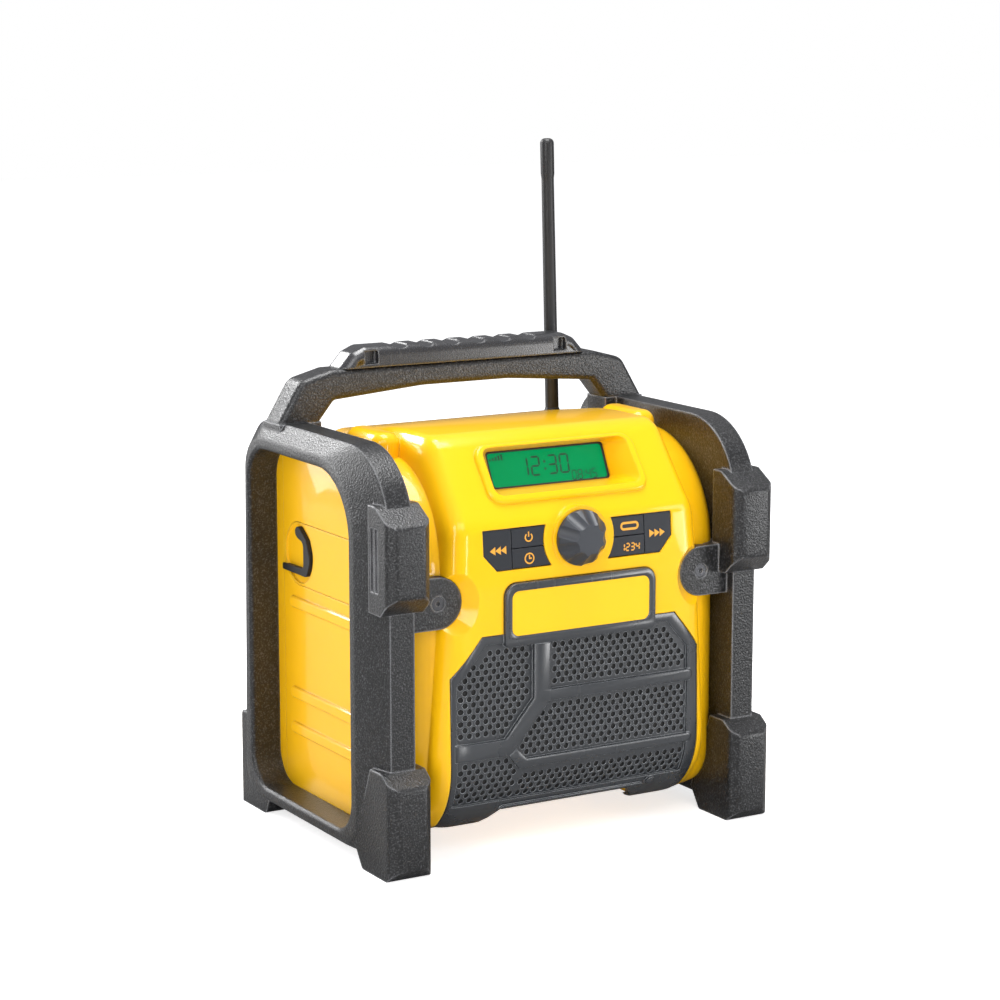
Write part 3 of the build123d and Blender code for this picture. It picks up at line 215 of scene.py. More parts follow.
def build_rounded_edges():
    """Normal of an edge with a small radius, and a mask of where that edge is rubbed and carries a painted
    highlight.
    """
    falloff = 1.6
    patches_per_metre = 90.0
    group, given, result = new_group("rounded_edges", {"Wear": 4.0, "Radius": 0.7 * MM},
                                     {"Mask": "NodeSocketFloat", "Normal": "NodeSocketVector"})
    rounded = group.nodes.new("ShaderNodeBevel")
    rounded.samples = 6
    group.links.new(given.outputs["Radius"], rounded.inputs["Radius"])
    surface = group.nodes.new("ShaderNodeNewGeometry")
    dot = group.nodes.new("ShaderNodeVectorMath")
    dot.operation = "DOT_PRODUCT"
    group.links.new(rounded.outputs["Normal"], dot.inputs[0])
    group.links.new(surface.outputs["Normal"], dot.inputs[1])
    bend = calc(group, "POWER", calc(group, "SUBTRACT", 1.0, dot.outputs["Value"], clamp=True), falloff)
    patches = noise(group, patches_per_metre, detail=5.0, roughness=0.65)
    patchy = calc(group, "MULTIPLY", patches, given.outputs["Wear"])
    group.links.new(calc(group, "MULTIPLY", bend, patchy, clamp=True), result.inputs["Mask"])
    group.links.new(rounded.outputs["Normal"], result.inputs["Normal"])
    return group


def build_moulded_grain():
    """Texture of a spark-eroded mould: rounded pits over fine noise, and the specks that its tips make."""
    fine_scale, shade_scale, tip_scale = 1.7, 0.35, 1.1      # of the pits' own scale
    fine_share = 0.6
    group, given, result = new_group("moulded_grain", {"Scale": 900.0},
                                     {"Height": "NodeSocketFloat", "Shade": "NodeSocketFloat",
                                      "Specks": "NodeSocketFloat"})
    scale = given.outputs["Scale"]
    fine = noise(group, calc(group, "MULTIPLY", scale, fine_scale), detail=3.0)
    height = calc(group, "ADD", pitted(group, scale), calc(group, "MULTIPLY", fine, fine_share))
    group.links.new(height, result.inputs["Height"])
    shade = noise(group, calc(group, "MULTIPLY", scale, shade_scale), detail=6.0, roughness=0.7)
    group.links.new(shade, result.inputs["Shade"])
    tips = noise(group, calc(group, "MULTIPLY", scale, tip_scale), detail=2.0, roughness=0.5)
    group.links.new(above(group, tips, floor=0.5, gain=4.0), result.inputs["Specks"])
    return group


def build_handling_marks():
    """Smudges and hairline scratches, as a change of roughness."""
    smudges_per_metre, hairs_per_metre = 22.0, 240.0
    hair_stretch = (1, 0.06, 0.09)
    group, given, result = new_group("handling_marks", {"Amount": 0.15}, {"Gloss": "NodeSocketFloat"})
    smudge = noise(group, smudges_per_metre, detail=5.0, roughness=0.6)
    lines = noise(group, hairs_per_metre, detail=2.0, roughness=0.5, stretch=hair_stretch)
    hair = above(group, lines, floor=0.66, gain=6.0)
    spread = calc(group, "MULTIPLY", calc(group, "SUBTRACT", smudge, 0.5), given.outputs["Amount"])
    scratched = calc(group, "MULTIPLY", hair, given.outputs["Amount"])
    group.links.new(calc(group, "ADD", spread, scratched), result.inputs["Gloss"])
    return group


def build_settled_dust():
    """Thin dust, thickest on surfaces that face up, broken up by noise."""
    patches_per_metre = 60.0
    patch_floor, patch_gain = 0.38, 3.0
    least = 0.25                             # share that lies on upright surfaces
    group, given, result = new_group("settled_dust", {"Amount": 0.1}, {"Mask": "NodeSocketFloat"})
    coords = group.nodes.new("ShaderNodeTexCoord")
    split = group.nodes.new("ShaderNodeSeparateXYZ")
    group.links.new(coords.outputs["Normal"], split.inputs["Vector"])
    upward = calc(group, "ADD", calc(group, "MAXIMUM", split.outputs["Z"], 0.0), least)
    cloudy = noise(group, patches_per_metre, detail=7.0, roughness=0.7)
    patches = calc(group, "SUBTRACT", cloudy, patch_floor, clamp=True)
    film = calc(group, "MULTIPLY", upward, calc(group, "MULTIPLY", patches, patch_gain))
    thin = calc(group, "MULTIPLY", film, given.outputs["Amount"], clamp=True)
    group.links.new(thin, result.inputs["Mask"])
    return group


def build_shade_drift():
    """Slow change of shade over a moulding."""
    group, given, result = new_group("shade_drift", {"Scale": 9.0}, {"Factor": "NodeSocketFloat"})
    drift = noise(group, given.outputs["Scale"], detail=3.0, roughness=0.5)
    group.links.new(drift, result.inputs["Factor"])
    return group


rounded_edges = build_rounded_edges()
moulded_grain = build_moulded_grain()
handling_marks = build_handling_marks()
settled_dust = build_settled_dust()
shade_drift = build_shade_drift()


# ---------------------------------------------------------------- materials
class Paintbox:
    """Node tree of one material, with short calls for what all the finishes share."""

    def __init__(self, name):
        self.material = bpy.data.materials.new(name)
        self.material.use_nodes = True
        self.nodes = self.material.node_tree.nodes
        self.links = self.material.node_tree.links
        self.body = self.nodes["Principled BSDF"]

    def place(self, group, **values):
        node = self.nodes.new("ShaderNodeGroup")
        node.node_tree = group
        for label, value in values.items():
            node.inputs[label].default_value = value
        return node

    def mix(self, factor, low, high):
        return colour_mix(self.material.node_tree, factor, low, high)

    def bump(self, height, depth, normal, strength=1.0):
        node = self.nodes.new("ShaderNodeBump")
        node.inputs["Distance"].default_value = depth
        node.inputs["Strength"].default_value = strength
        self.links.new(height, node.inputs["Height"])
        self.links.new(normal, node.inputs["Normal"])
        return node.outputs["Normal"]


DUST_COLOUR = (0.42, 0.38, 0.32)
DUST_ROUGHNESS = 0.4                         # what full dust adds to the roughness
SHADE_SHARE = 0.35                           # how far the grain's darker spots go to the deep colour
COAT_ROUGHNESS = 0.07


def finish(name, colour, deep, roughness, grain=900.0, grain_depth=0.02 * MM, scuff_and_highlight_colour=(0.2, 0.2, 0.2), wear_and_highlight=3.0,
           radius=0.7 * MM, specks=0.0, marks=0.12, dust=0.08, metallic=0.0, coat=0.0, specular=0.5):
    """Moulded or coated surface: drifting shade, grain, rubbed edges that double as painted highlights,
    handling marks and a little dust.
    """
    box = Paintbox(name)
    tree = box.material.node_tree
    edges = box.place(rounded_edges, Wear=wear_and_highlight, Radius=radius)
    texture = box.place(moulded_grain, Scale=grain)
    gloss = box.place(handling_marks, Amount=marks)
    film = box.place(settled_dust, Amount=dust)
    drift = box.place(shade_drift)
    base = box.mix(drift.outputs["Factor"], deep, colour)
    shaded = box.mix(calc(tree, "MULTIPLY", texture.outputs["Shade"], SHADE_SHARE), base, deep)
    speckled = box.mix(calc(tree, "MULTIPLY", texture.outputs["Specks"], specks), shaded, scuff_and_highlight_colour)
    # pale edges: partly real rubbing, partly a painted highlight along every sharp edge
    rubbed_and_highlit = box.mix(edges.outputs["Mask"], speckled, scuff_and_highlight_colour)
    dusty = box.mix(film.outputs["Mask"], rubbed_and_highlit, DUST_COLOUR)
    box.links.new(dusty, box.body.inputs["Base Color"])
    handled = calc(tree, "ADD", gloss.outputs["Gloss"], roughness)
    dulled = calc(tree, "MULTIPLY", film.outputs["Mask"], DUST_ROUGHNESS)
    box.links.new(calc(tree, "ADD", handled, dulled, clamp=True), box.body.inputs["Roughness"])
    normal = box.bump(texture.outputs["Height"], grain_depth, edges.outputs["Normal"])
    box.links.new(normal, box.body.inputs["Normal"])
    box.body.inputs["Metallic"].default_value = metallic
    box.body.inputs["Specular IOR Level"].default_value = specular
    box.body.inputs["Coat Weight"].default_value = coat
    box.body.inputs["Coat Roughness"].default_value = COAT_ROUGHNESS
    return box.material


def yellow_moulding():
    return finish("housing_yellow", (0.96, 0.56, 0.006), (0.93, 0.47, 0.003), roughness=0.3, grain=1500.0,
                  grain_depth=0.004 * MM, scuff_and_highlight_colour=(1.0, 0.75, 0.1), wear_and_highlight=3.0, radius=1.4 * MM, marks=0.07,
                  dust=0.006, coat=0.55, specular=0.15)


def yellow_plate():
    return finish("plate_yellow", (0.96, 0.58, 0.008), (0.93, 0.51, 0.006), roughness=0.3, grain=2200.0,
                  grain_depth=0.003 * MM, scuff_and_highlight_colour=(1.0, 0.8, 0.2), wear_and_highlight=2.0, marks=0.06, dust=0.01, coat=0.2,
                  specular=0.25)


def guard_texture():
    # strong pale edge lines: painted highlights along the bumpers and the ring, with some real wear
    return finish("guard_black", (0.014, 0.0145, 0.0155), (0.004, 0.0042, 0.0048), roughness=0.32,
                  grain=900.0, grain_depth=0.22 * MM, scuff_and_highlight_colour=(0.34, 0.345, 0.36), wear_and_highlight=14.0, radius=2.2 * MM,
                  specks=0.22, marks=0.1, dust=0.01, specular=0.62)


def grip_rubber():
    return finish("grip_rubber", (0.03, 0.031, 0.034), (0.015, 0.015, 0.017), roughness=0.24, grain=1300.0,
                  grain_depth=0.03 * MM, scuff_and_highlight_colour=(0.24, 0.245, 0.25), wear_and_highlight=9.0, radius=1.6 * MM, specks=0.1,
                  marks=0.14, dust=0.01, specular=1.0)


def grille_satin():
    # pale rib edges: painted highlights as much as wear
    return finish("grille_grey", (0.04, 0.044, 0.05), (0.022, 0.025, 0.029), roughness=0.27, grain=1700.0,
                  grain_depth=0.012 * MM, scuff_and_highlight_colour=(0.38, 0.4, 0.42), wear_and_highlight=12.0, radius=0.9 * MM, marks=0.1,
                  dust=0.01, specular=0.9)


def key_slate():
    return finish("key_slate", (0.018, 0.021, 0.027), (0.013, 0.015, 0.02), roughness=0.42, grain=2400.0,
                  grain_depth=0.01 * MM, scuff_and_highlight_colour=(0.14, 0.15, 0.17), wear_and_highlight=6.0, marks=0.12, dust=0.0,
                  specular=0.35)


def knob_slate():
    return finish("knob_grey", (0.045, 0.05, 0.06), (0.03, 0.034, 0.042), roughness=0.38, grain=2000.0,
                  grain_depth=0.014 * MM, scuff_and_highlight_colour=(0.22, 0.23, 0.25), wear_and_highlight=6.0, marks=0.14, dust=0.0)


def gasket_black():
    return finish("gasket_black", (0.016, 0.016, 0.018), (0.01, 0.01, 0.011), roughness=0.55, grain=1400.0,
                  grain_depth=0.02 * MM, scuff_and_highlight_colour=(0.09, 0.09, 0.095), wear_and_highlight=2.5, marks=0.12, dust=0.05)


def antenna_rubber():
    return finish("antenna_black", (0.02, 0.02, 0.022), (0.013, 0.013, 0.014), roughness=0.42, grain=2600.0,
                  grain_depth=0.012 * MM, scuff_and_highlight_colour=(0.1, 0.1, 0.105), wear_and_highlight=2.5, marks=0.14, dust=0.04)


def dark_screw():
    # bright rim: a painted highlight as much as wear
    return finish("screw_black", (0.16, 0.162, 0.17), (0.09, 0.092, 0.1), roughness=0.3, grain=2600.0,
                  grain_depth=0.01 * MM, scuff_and_highlight_colour=(0.7, 0.7, 0.72), wear_and_highlight=12.0, marks=0.2, dust=0.0, metallic=0.9)


def coated_steel():
    return finish("steel_dark", (0.08, 0.08, 0.085), (0.05, 0.05, 0.055), roughness=0.42, grain=1800.0,
                  grain_depth=0.008 * MM, scuff_and_highlight_colour=(0.45, 0.45, 0.46), wear_and_highlight=8.0, marks=0.2, dust=0.05,
                  metallic=0.9)


def plated_steel():
    return finish("steel_bright", (0.62, 0.62, 0.64), (0.5, 0.5, 0.52), roughness=0.28, grain=2400.0,
                  grain_depth=0.006 * MM, scuff_and_highlight_colour=(0.8, 0.8, 0.8), wear_and_highlight=2.0, marks=0.25, dust=0.03,
                  metallic=1.0)


def brass_contact():
    return finish("contact_brass", (0.75, 0.55, 0.22), (0.62, 0.42, 0.15), roughness=0.28, grain=2400.0,
                  grain_depth=0.006 * MM, scuff_and_highlight_colour=(0.9, 0.75, 0.45), wear_and_highlight=3.0, marks=0.25, dust=0.02,
                  metallic=1.0)


def silicone_mat():
    return finish("mat_rubber", (0.5, 0.5, 0.49), (0.42, 0.42, 0.41), roughness=0.6, grain=1500.0,
                  grain_depth=0.01 * MM, scuff_and_highlight_colour=(0.6, 0.6, 0.6), wear_and_highlight=1.0, marks=0.1, dust=0.04)


def circuit_board():
    return finish("board_green", (0.012, 0.12, 0.05), (0.008, 0.08, 0.035), roughness=0.35, grain=1200.0,
                  grain_depth=0.03 * MM, scuff_and_highlight_colour=(0.5, 0.4, 0.2), wear_and_highlight=2.0, marks=0.1, dust=0.03)


def paper_cone():
    return finish("cone_black", (0.02, 0.02, 0.021), (0.012, 0.012, 0.012), roughness=0.75, grain=700.0,
                  grain_depth=0.05 * MM, scuff_and_highlight_colour=(0.05, 0.05, 0.05), wear_and_highlight=1.0, marks=0.1, dust=0.08)


def cell_sleeve():
    return finish("cell_skin", (0.35, 0.37, 0.4), (0.25, 0.27, 0.3), roughness=0.3, grain=2000.0,
                  grain_depth=0.005 * MM, scuff_and_highlight_colour=(0.7, 0.7, 0.7), wear_and_highlight=2.0, marks=0.15, dust=0.02,
                  metallic=0.6)


def amber_marks():
    return finish("amber_marks", (0.9, 0.42, 0.03), (0.75, 0.33, 0.02), roughness=0.5, grain=3000.0,
                  grain_depth=0.004 * MM, scuff_and_highlight_colour=(0.9, 0.6, 0.2), wear_and_highlight=1.0, marks=0.08, dust=0.02)


def lit_display():
    """Backlit green panel with slow changes of brightness and a faint grid of dots."""
    dots_per_metre = 900.0
    line_width = 0.04                        # of the grid's own scale
    line_shade = (0.8, 0.8, 0.8, 1)
    grid_share = 0.5
    box = Paintbox("lcd_green")
    tree = box.material.node_tree
    glow = box.mix(noise(tree, scale=14.0, detail=2.0), (0.0, 0.29, 0.085), (0.0, 0.37, 0.11))
    coords = box.nodes.new("ShaderNodeTexCoord")
    grid = box.nodes.new("ShaderNodeTexBrick")
    grid.offset = 0.0
    grid.inputs["Scale"].default_value = dots_per_metre
    grid.inputs["Mortar Size"].default_value = line_width
    grid.inputs["Color1"].default_value = (*WHITE, 1)
    grid.inputs["Color2"].default_value = (*WHITE, 1)
    grid.inputs["Mortar"].default_value = line_shade
    box.links.new(coords.outputs["Object"], grid.inputs["Vector"])
    dots = box.nodes.new("ShaderNodeMixRGB")
    dots.blend_type = "MULTIPLY"
    dots.inputs["Fac"].default_value = grid_share
    box.links.new(glow, dots.inputs["Color1"])
    box.links.new(grid.outputs["Color"], dots.inputs["Color2"])
    box.links.new(dots.outputs["Color"], box.body.inputs["Emission Color"])
    unlit = box.mix(noise(tree, scale=40.0), (0.0, 0.04, 0.014), (0.0, 0.055, 0.02))
    box.links.new(unlit, box.body.inputs["Base Color"])
    box.body.inputs["Emission Strength"].default_value = 0.9
    box.body.inputs["Roughness"].default_value = 0.5
    box.body.inputs["Specular IOR Level"].default_value = 0.05
    return box.material


def segment_ink():
    """Dark green of the segments that are on."""
    box = Paintbox("display_ink")
    cloudy = noise(box.material.node_tree, scale=60.0)
    ink = box.mix(cloudy, (0.0, 0.035, 0.014), (0.0, 0.055, 0.022))
    box.links.new(ink, box.body.inputs["Base Color"])
    box.body.inputs["Roughness"].default_value = 0.5
    return box.material


def window_glass():
    """Clear pane; its low index keeps the studio's reflection off the display."""
    clean_roughness = 0.05
    box = Paintbox("clear_window")
    tree = box.material.node_tree
    marks = box.place(handling_marks, Amount=0.06)
    smudged = calc(tree, "ADD", marks.outputs["Gloss"], clean_roughness, clamp=True)
    box.links.new(smudged, box.body.inputs["Roughness"])
    tint = box.mix(noise(tree, scale=30.0), (0.97, 1.0, 0.98), (0.93, 0.98, 0.95))
    box.links.new(tint, box.body.inputs["Base Color"])
    box.body.inputs["Transmission Weight"].default_value = 1.0
    box.body.inputs["IOR"].default_value = 1.1
    return box.material


materials = {
    "housing_yellow": yellow_moulding(), "plate_yellow": yellow_plate(), "guard_black": guard_texture(),
    "grip_rubber": grip_rubber(), "grille_grey": grille_satin(), "key_slate": key_slate(),
    "knob_grey": knob_slate(), "gasket_black": gasket_black(), "clear_window": window_glass(),
    "lcd_green": lit_display(), "board_green": circuit_board(), "steel_dark": coated_steel(),
    "steel_bright": plated_steel(), "mat_rubber": silicone_mat(), "cone_black": paper_cone(),
    "screw_black": dark_screw(), "contact_brass": brass_contact(), "cell_skin": cell_sleeve(),
    "antenna_black": antenna_rubber(), "amber_marks": amber_marks(), "display_ink": segment_ink(),
}

# ---------------------------------------------------------------- pieces
SMOOTH_ANGLE = math.radians(33)
SOFT_ANGLE = math.radians(35)                # edges sharper than this are softened
GRILLE_SMOOTH_ANGLE = math.radians(40)
FLAT_ANGLE = math.radians(0.5)               # triangles this close to one plane become one face
WELD = 1e-6                                  # corners closer than this are one
slots = {row["node"]: row["material_slot"] for row in frame["record"]["subparts"]}
bodies = frame["record"]["behaviour"]["bodies"]
body_of_node = {node: body for body, members in bodies.items() for node in members}


def shade_by_angle(shape, angle=SMOOTH_ANGLE):
    """Smooth faces, with a sharp edge wherever the surface turns more than the angle."""
    for face in shape.faces:
        face.smooth = True
    for edge in shape.edges:
        edge.smooth = len(edge.link_faces) == 2 and edge.calc_face_angle(0) < angle


def add_piece(name, shape, body, slot, paint=None, stands_for=None):
    """Finished bmesh as a piece that rides on a body."""
    mesh = bpy.data.meshes.new(name)
    shape.to_mesh(mesh)
    shape.free()
    mesh.materials.append(materials[paint or slot])
    piece = bpy.data.objects.new(name, mesh)
    bpy.context.scene.collection.objects.link(piece)
    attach(piece, body)
    if stands_for:
        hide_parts(stands_for)
    return piece


def skin_of(node):
    """A copy of the node's triangles joined into one closed skin, shaded smooth across shallow edges."""
    shape = bmesh.new()
    shape.from_mesh(frame["nodes"][node].data)
    bmesh.ops.remove_doubles(shape, verts=shape.verts, dist=WELD)
    bmesh.ops.dissolve_limit(shape, angle_limit=FLAT_ANGLE, verts=shape.verts, edges=shape.edges,
                             delimit={"NORMAL"})
    shade_by_angle(shape)
    return shape


def soften(piece, width):
    """Small real rounds along the piece's sharp edges."""
    bevel = piece.modifiers.new("soft_edges", "BEVEL")
    bevel.width = width
    bevel.segments = 2
    bevel.limit_method = "ANGLE"
    bevel.angle_limit = SOFT_ANGLE
    bevel.use_clamp_overlap = True


# ---------------------------------------------------------------- front surface of the housing
FRONT_Y = -91.4 * MM + SHIFT_Y
CHIN_SLOPE = math.atan2(22.4, 23.0)          # lean of the chin from upright
CHIN_R = 50.0 * MM
CHIN_TOP_Z = 58.3 * MM                       # the chin's curve starts here
SOLE_R = 18.0 * MM
SOLE_AT = (-61.4 * MM + SHIFT_Y, 33.0 * MM)  # centre of the round between chin and underside
ROLL_START = 72.0 * MM
ROLL_WIDTH = 26.0 * MM
ROLL_DEPTH = 13.0 * MM
ROLL_LEAN = math.tan(math.radians(4.0))
CHIN_CUTS = range(17, 60, 3)                 # heights and places where a plate is cut, to bend there
FLANK_CUTS = (-83, -81, -78, -75, -72, 72, 75, 78, 81, 83)


def chin_y(z, depth):
    """Y of the block's front at a height, at a depth under its surface."""
    if z >= CHIN_TOP_Z:
        return FRONT_Y + depth
    radius = CHIN_R - depth
    centre_y = FRONT_Y + CHIN_R
    drop = CHIN_TOP_Z - z
    if drop <= radius * math.sin(CHIN_SLOPE):
        return centre_y - math.sqrt(radius ** 2 - drop ** 2)
    sole = SOLE_R - depth
    below = SOLE_AT[1] - z
    if below > sole * math.sin(CHIN_SLOPE):
        return SOLE_AT[0] - math.sqrt(max(sole ** 2 - below ** 2, 0))
    curve_drop, curve_y = radius * math.sin(CHIN_SLOPE), centre_y - radius * math.cos(CHIN_SLOPE)
    return curve_y + (drop - curve_drop) * math.tan(CHIN_SLOPE)


def roll_inset(x, z):
    """How far the block's flank has rolled back at this place."""
    reach = max(abs(x) - ROLL_START, 0) / (ROLL_WIDTH - z * ROLL_LEAN)
    turn = math.asin(min(reach, 1))
    return ROLL_DEPTH * (1 - math.cos(turn))


def wrap_on_front(shape):
    """Bend a flat plate, whose Y is depth below the surface, onto the block's front."""
    cuts = [(Vector((0, 0, z * MM)), Vector((0, 0, 1))) for z in CHIN_CUTS]
    cuts += [(Vector((x * MM, 0, 0)), Vector((1, 0, 0))) for x in FLANK_CUTS]
    for point, normal in cuts:
        everything = shape.verts[:] + shape.edges[:] + shape.faces[:]
        bmesh.ops.bisect_plane(shape, geom=everything, dist=WELD, plane_co=point, plane_no=normal)
    for vertex in shape.verts:
        x, depth, z = vertex.co
        vertex.co.y = chin_y(z, depth + roll_inset(x, z))


def plate(outlines, front, thick, bevel=0.0):
    """Flat plate in X and Z from closed outlines in millimetres, the first filled and the rest holes.

    Its front face is at Y = front and it reaches thick further back.
    """
    curve = bpy.data.curves.new("plate", "CURVE")
    curve.dimensions = "2D"
    curve.fill_mode = "BOTH"
    curve.extrude = thick / 2 - bevel
    curve.bevel_depth = bevel
    curve.bevel_resolution = 1
    curve.offset = -bevel
    for outline in outlines:
        spline = curve.splines.new("POLY")
        spline.points.add(len(outline) - 1)
        for point, (x, z) in zip(spline.points, outline):
            point.co = (x * MM, z * MM, 0, 1)
        spline.use_cyclic_u = True
    holder = bpy.data.objects.new("plate", curve)
    bpy.context.scene.collection.objects.link(holder)
    bpy.context.view_layer.update()
    mesh = bpy.data.meshes.new_from_object(holder.evaluated_get(bpy.context.evaluated_depsgraph_get()))
    bpy.data.objects.remove(holder)
    shape = bmesh.new()
    shape.from_mesh(mesh)
    bmesh.ops.remove_doubles(shape, verts=shape.verts, dist=WELD)
    bmesh.ops.rotate(shape, verts=shape.verts, matrix=Matrix.Rotation(math.radians(90), 3, "X"))
    bmesh.ops.translate(shape, verts=shape.verts, vec=(0, front + thick / 2, 0))
    bmesh.ops.recalc_face_normals(shape, faces=shape.faces)
    return shape


def join_shapes(shapes):
    """All the bmeshes in one."""
    whole = bmesh.new()
    for shape in shapes:
        mesh = bpy.data.meshes.new("piece")
        shape.to_mesh(mesh)
        shape.free()
        whole.from_mesh(mesh)
        bpy.data.meshes.remove(mesh)
    return whole


def ring(x, z, radius, count):
    """Points of a circle in X and Z, anticlockwise."""
    turns = [2 * math.pi * step / count for step in range(count)]
    return [(x + radius * math.cos(turn), z + radius * math.sin(turn)) for turn in turns]


def round_box(left, right, low, top, low_r, top_r, steps=5):
    """Outline of a box with round corners, anticlockwise from the low right one."""
    points = []
    corners = ((right - low_r, low + low_r, low_r, -90), (right - top_r, top - top_r, top_r, 0),
               (left + top_r, top - top_r, top_r, 90), (left + low_r, low + low_r, low_r, 180))
    for x, z, radius, start in corners:
        for step in range(steps + 1):
            turn = math.radians(start + 90 * step / steps)
            points.append((x + radius * math.cos(turn), z + radius * math.sin(turn)))
    return points


# ---------------------------------------------------------------- speaker grille
# Outlines and their radii are in millimetres of X and Z; depths, thicknesses and edge rounds are in metres.
GRILLE_HALF_X = 84.5
GRILLE_LOW_Z = 15.5
CHIN_NOTCH = [(-56.0, 15.5), (-46.0, 26.0), (41.0, 26.0), (51.0, 15.5)]
GRILLE_TOP = [(84.5, 110.0), (65.5, 132.7), (-65.5, 132.7), (-84.5, 110.0)]
SHEET_DEPTH = 2.1 * MM
SHEET_THICK = 0.9 * MM
HOLE_SHADE_DEPTH = 3.15 * MM
HOLE_SHADE_THICK = 0.3 * MM
BAND_DEPTH = 0.2 * MM
RIB_DEPTH = -0.9 * MM
RIB_STEP = 0.07 * MM                         # each next rib lies this much lower, so no two faces coincide
RIB_ROUND = 1.1 * MM
BAND_ROUND = 0.7 * MM
BITE = 0.3 * MM                              # the band and the ribs reach this far into the sheet
BEAD_DEPTH = -1.3 * MM
BEAD_THICK = 2.5 * MM
BEAD_ROUND = 1.0 * MM
FIELD_EDGE = [(-81.0, 33.0), (75.5, 33.0), (75.5, 110.8), (61.0, 127.5), (-62.5, 127.5), (-81.0, 105.5)]
FIELDS = [
    [(-81.0, 71.2), (-50.2, 71.2), (-31.5, 93.0), (-31.5, 127.5), (-62.5, 127.5), (-81.0, 105.5)],
    [(-20.5, 97.0), (75.5, 97.0), (75.5, 110.8), (61.0, 127.5), (-20.5, 127.5)],
    [(-36.0, 58.0), (75.5, 58.0), (75.5, 90.0), (-20.5, 90.5), (-42.8, 64.8)],
    [(-41.0, 33.0), (75.5, 33.0), (75.5, 52.3), (-41.0, 52.3)],
    [(-81.0, 33.0), (-41.0, 33.0), (-41.0, 52.3), (-48.3, 61.0), (-81.0, 61.0)],
]
RIBS = [
    [(-82.5, 61.0), (-48.3, 61.0), (-42.8, 64.8), (-20.5, 90.5), (-20.5, 129.0), (-31.5, 129.0),
     (-31.5, 93.0), (-50.2, 71.2), (-82.5, 71.2)],
    [(-27.0, 90.0), (77.0, 90.0), (79.0, 92.0), (79.0, 95.5), (77.5, 97.0), (-27.0, 97.0)],
    [(-48.3, 61.0), (-41.0, 52.3), (77.0, 52.3), (79.0, 54.0), (79.0, 56.5), (77.5, 58.0), (-36.0, 58.0),
     (-42.8, 64.8)],
]
HOLE_PITCH = 5.4
HOLE_ROW = 3.6                               # height between rows, each half a pitch beside the last
HOLE_R = 1.75
HOLE_SIDES = 10
HOLE_MARGIN = 1.9                            # least distance of a hole's centre from its field's edge
FRAME_MARGIN = 2.0                           # and from the plate's frame
CHIN_BEAD = [(-47.0, 26.2), (48.0, 26.2), (50.5, 28.0), (48.5, 29.0), (-47.0, 29.0), (-48.5, 27.6)]
CHIN_STUD = (54.5, 29.5)
STUD_R = 2.8
STUD_SIDES = 16
STUD_RISE = 0.6 * MM                         # above the bead
STUD_THICK = 3.0 * MM
STUD_ROUND = 1.2 * MM
# outline of the dark sheet behind the holes, a painted shade
HOLE_SHADE = [(-83.5, 28.0), (83.5, 28.0), (83.5, 109.0), (64.5, 131.0), (-64.5, 131.0), (-83.5, 109.0)]
FRAME_HALF_X = 51.3
FRAME_LOW_Z = 125.0
FRAME_TOP_Z = 162.0
FRAME_RIM = 5.0
FRAME_LOW_RIM = 6.5
FRAME_FOOT_R = 3.0
FRAME_TOP_R = 8.0
FRAME_INNER_R = 4.0
FRAME_FACE_Y = -93.4 * MM + SHIFT_Y
FRAME_DEPTH = 5.4 * MM
FRAME_ROUND = 1.3 * MM


def well_inside(x, z, corners, margin):
    """True where the point lies at least margin inside a convex anticlockwise polygon."""
    for (x0, z0), (x1, z1) in zip(corners, corners[1:] + corners[:1]):
        run, rise = x1 - x0, z1 - z0
        if (run * (z - z0) - rise * (x - x0)) / math.hypot(run, rise) < margin:
            return False
    return True


def hole_spots():
    """Centres of the grille's holes: staggered rows, clear of the ribs and the plate's frame."""
    spots = []
    columns = int(GRILLE_HALF_X / HOLE_PITCH) + 1
    for row in range(int(FRAME_TOP_Z / HOLE_ROW)):
        z = row * HOLE_ROW
        for column in range(-columns, columns + 1):
            x = (column + 0.5 * (row % 2)) * HOLE_PITCH
            under_frame = z > FRAME_LOW_Z - FRAME_MARGIN and abs(x) < FRAME_HALF_X + FRAME_MARGIN
            if not under_frame and any(well_inside(x, z, field, HOLE_MARGIN) for field in FIELDS):
                spots.append((x, z))
    return spots


def plate_frame():
    """Ring round the bare plate above the grille."""
    outer = round_box(-FRAME_HALF_X, FRAME_HALF_X, FRAME_LOW_Z, FRAME_TOP_Z, FRAME_FOOT_R, FRAME_TOP_R)
    inner_x = FRAME_HALF_X - FRAME_RIM
    inner = round_box(-inner_x, inner_x, FRAME_LOW_Z + FRAME_LOW_RIM, FRAME_TOP_Z - FRAME_RIM,
                      FRAME_INNER_R, FRAME_INNER_R)
    return plate([outer, inner], FRAME_FACE_Y, FRAME_DEPTH, FRAME_ROUND)


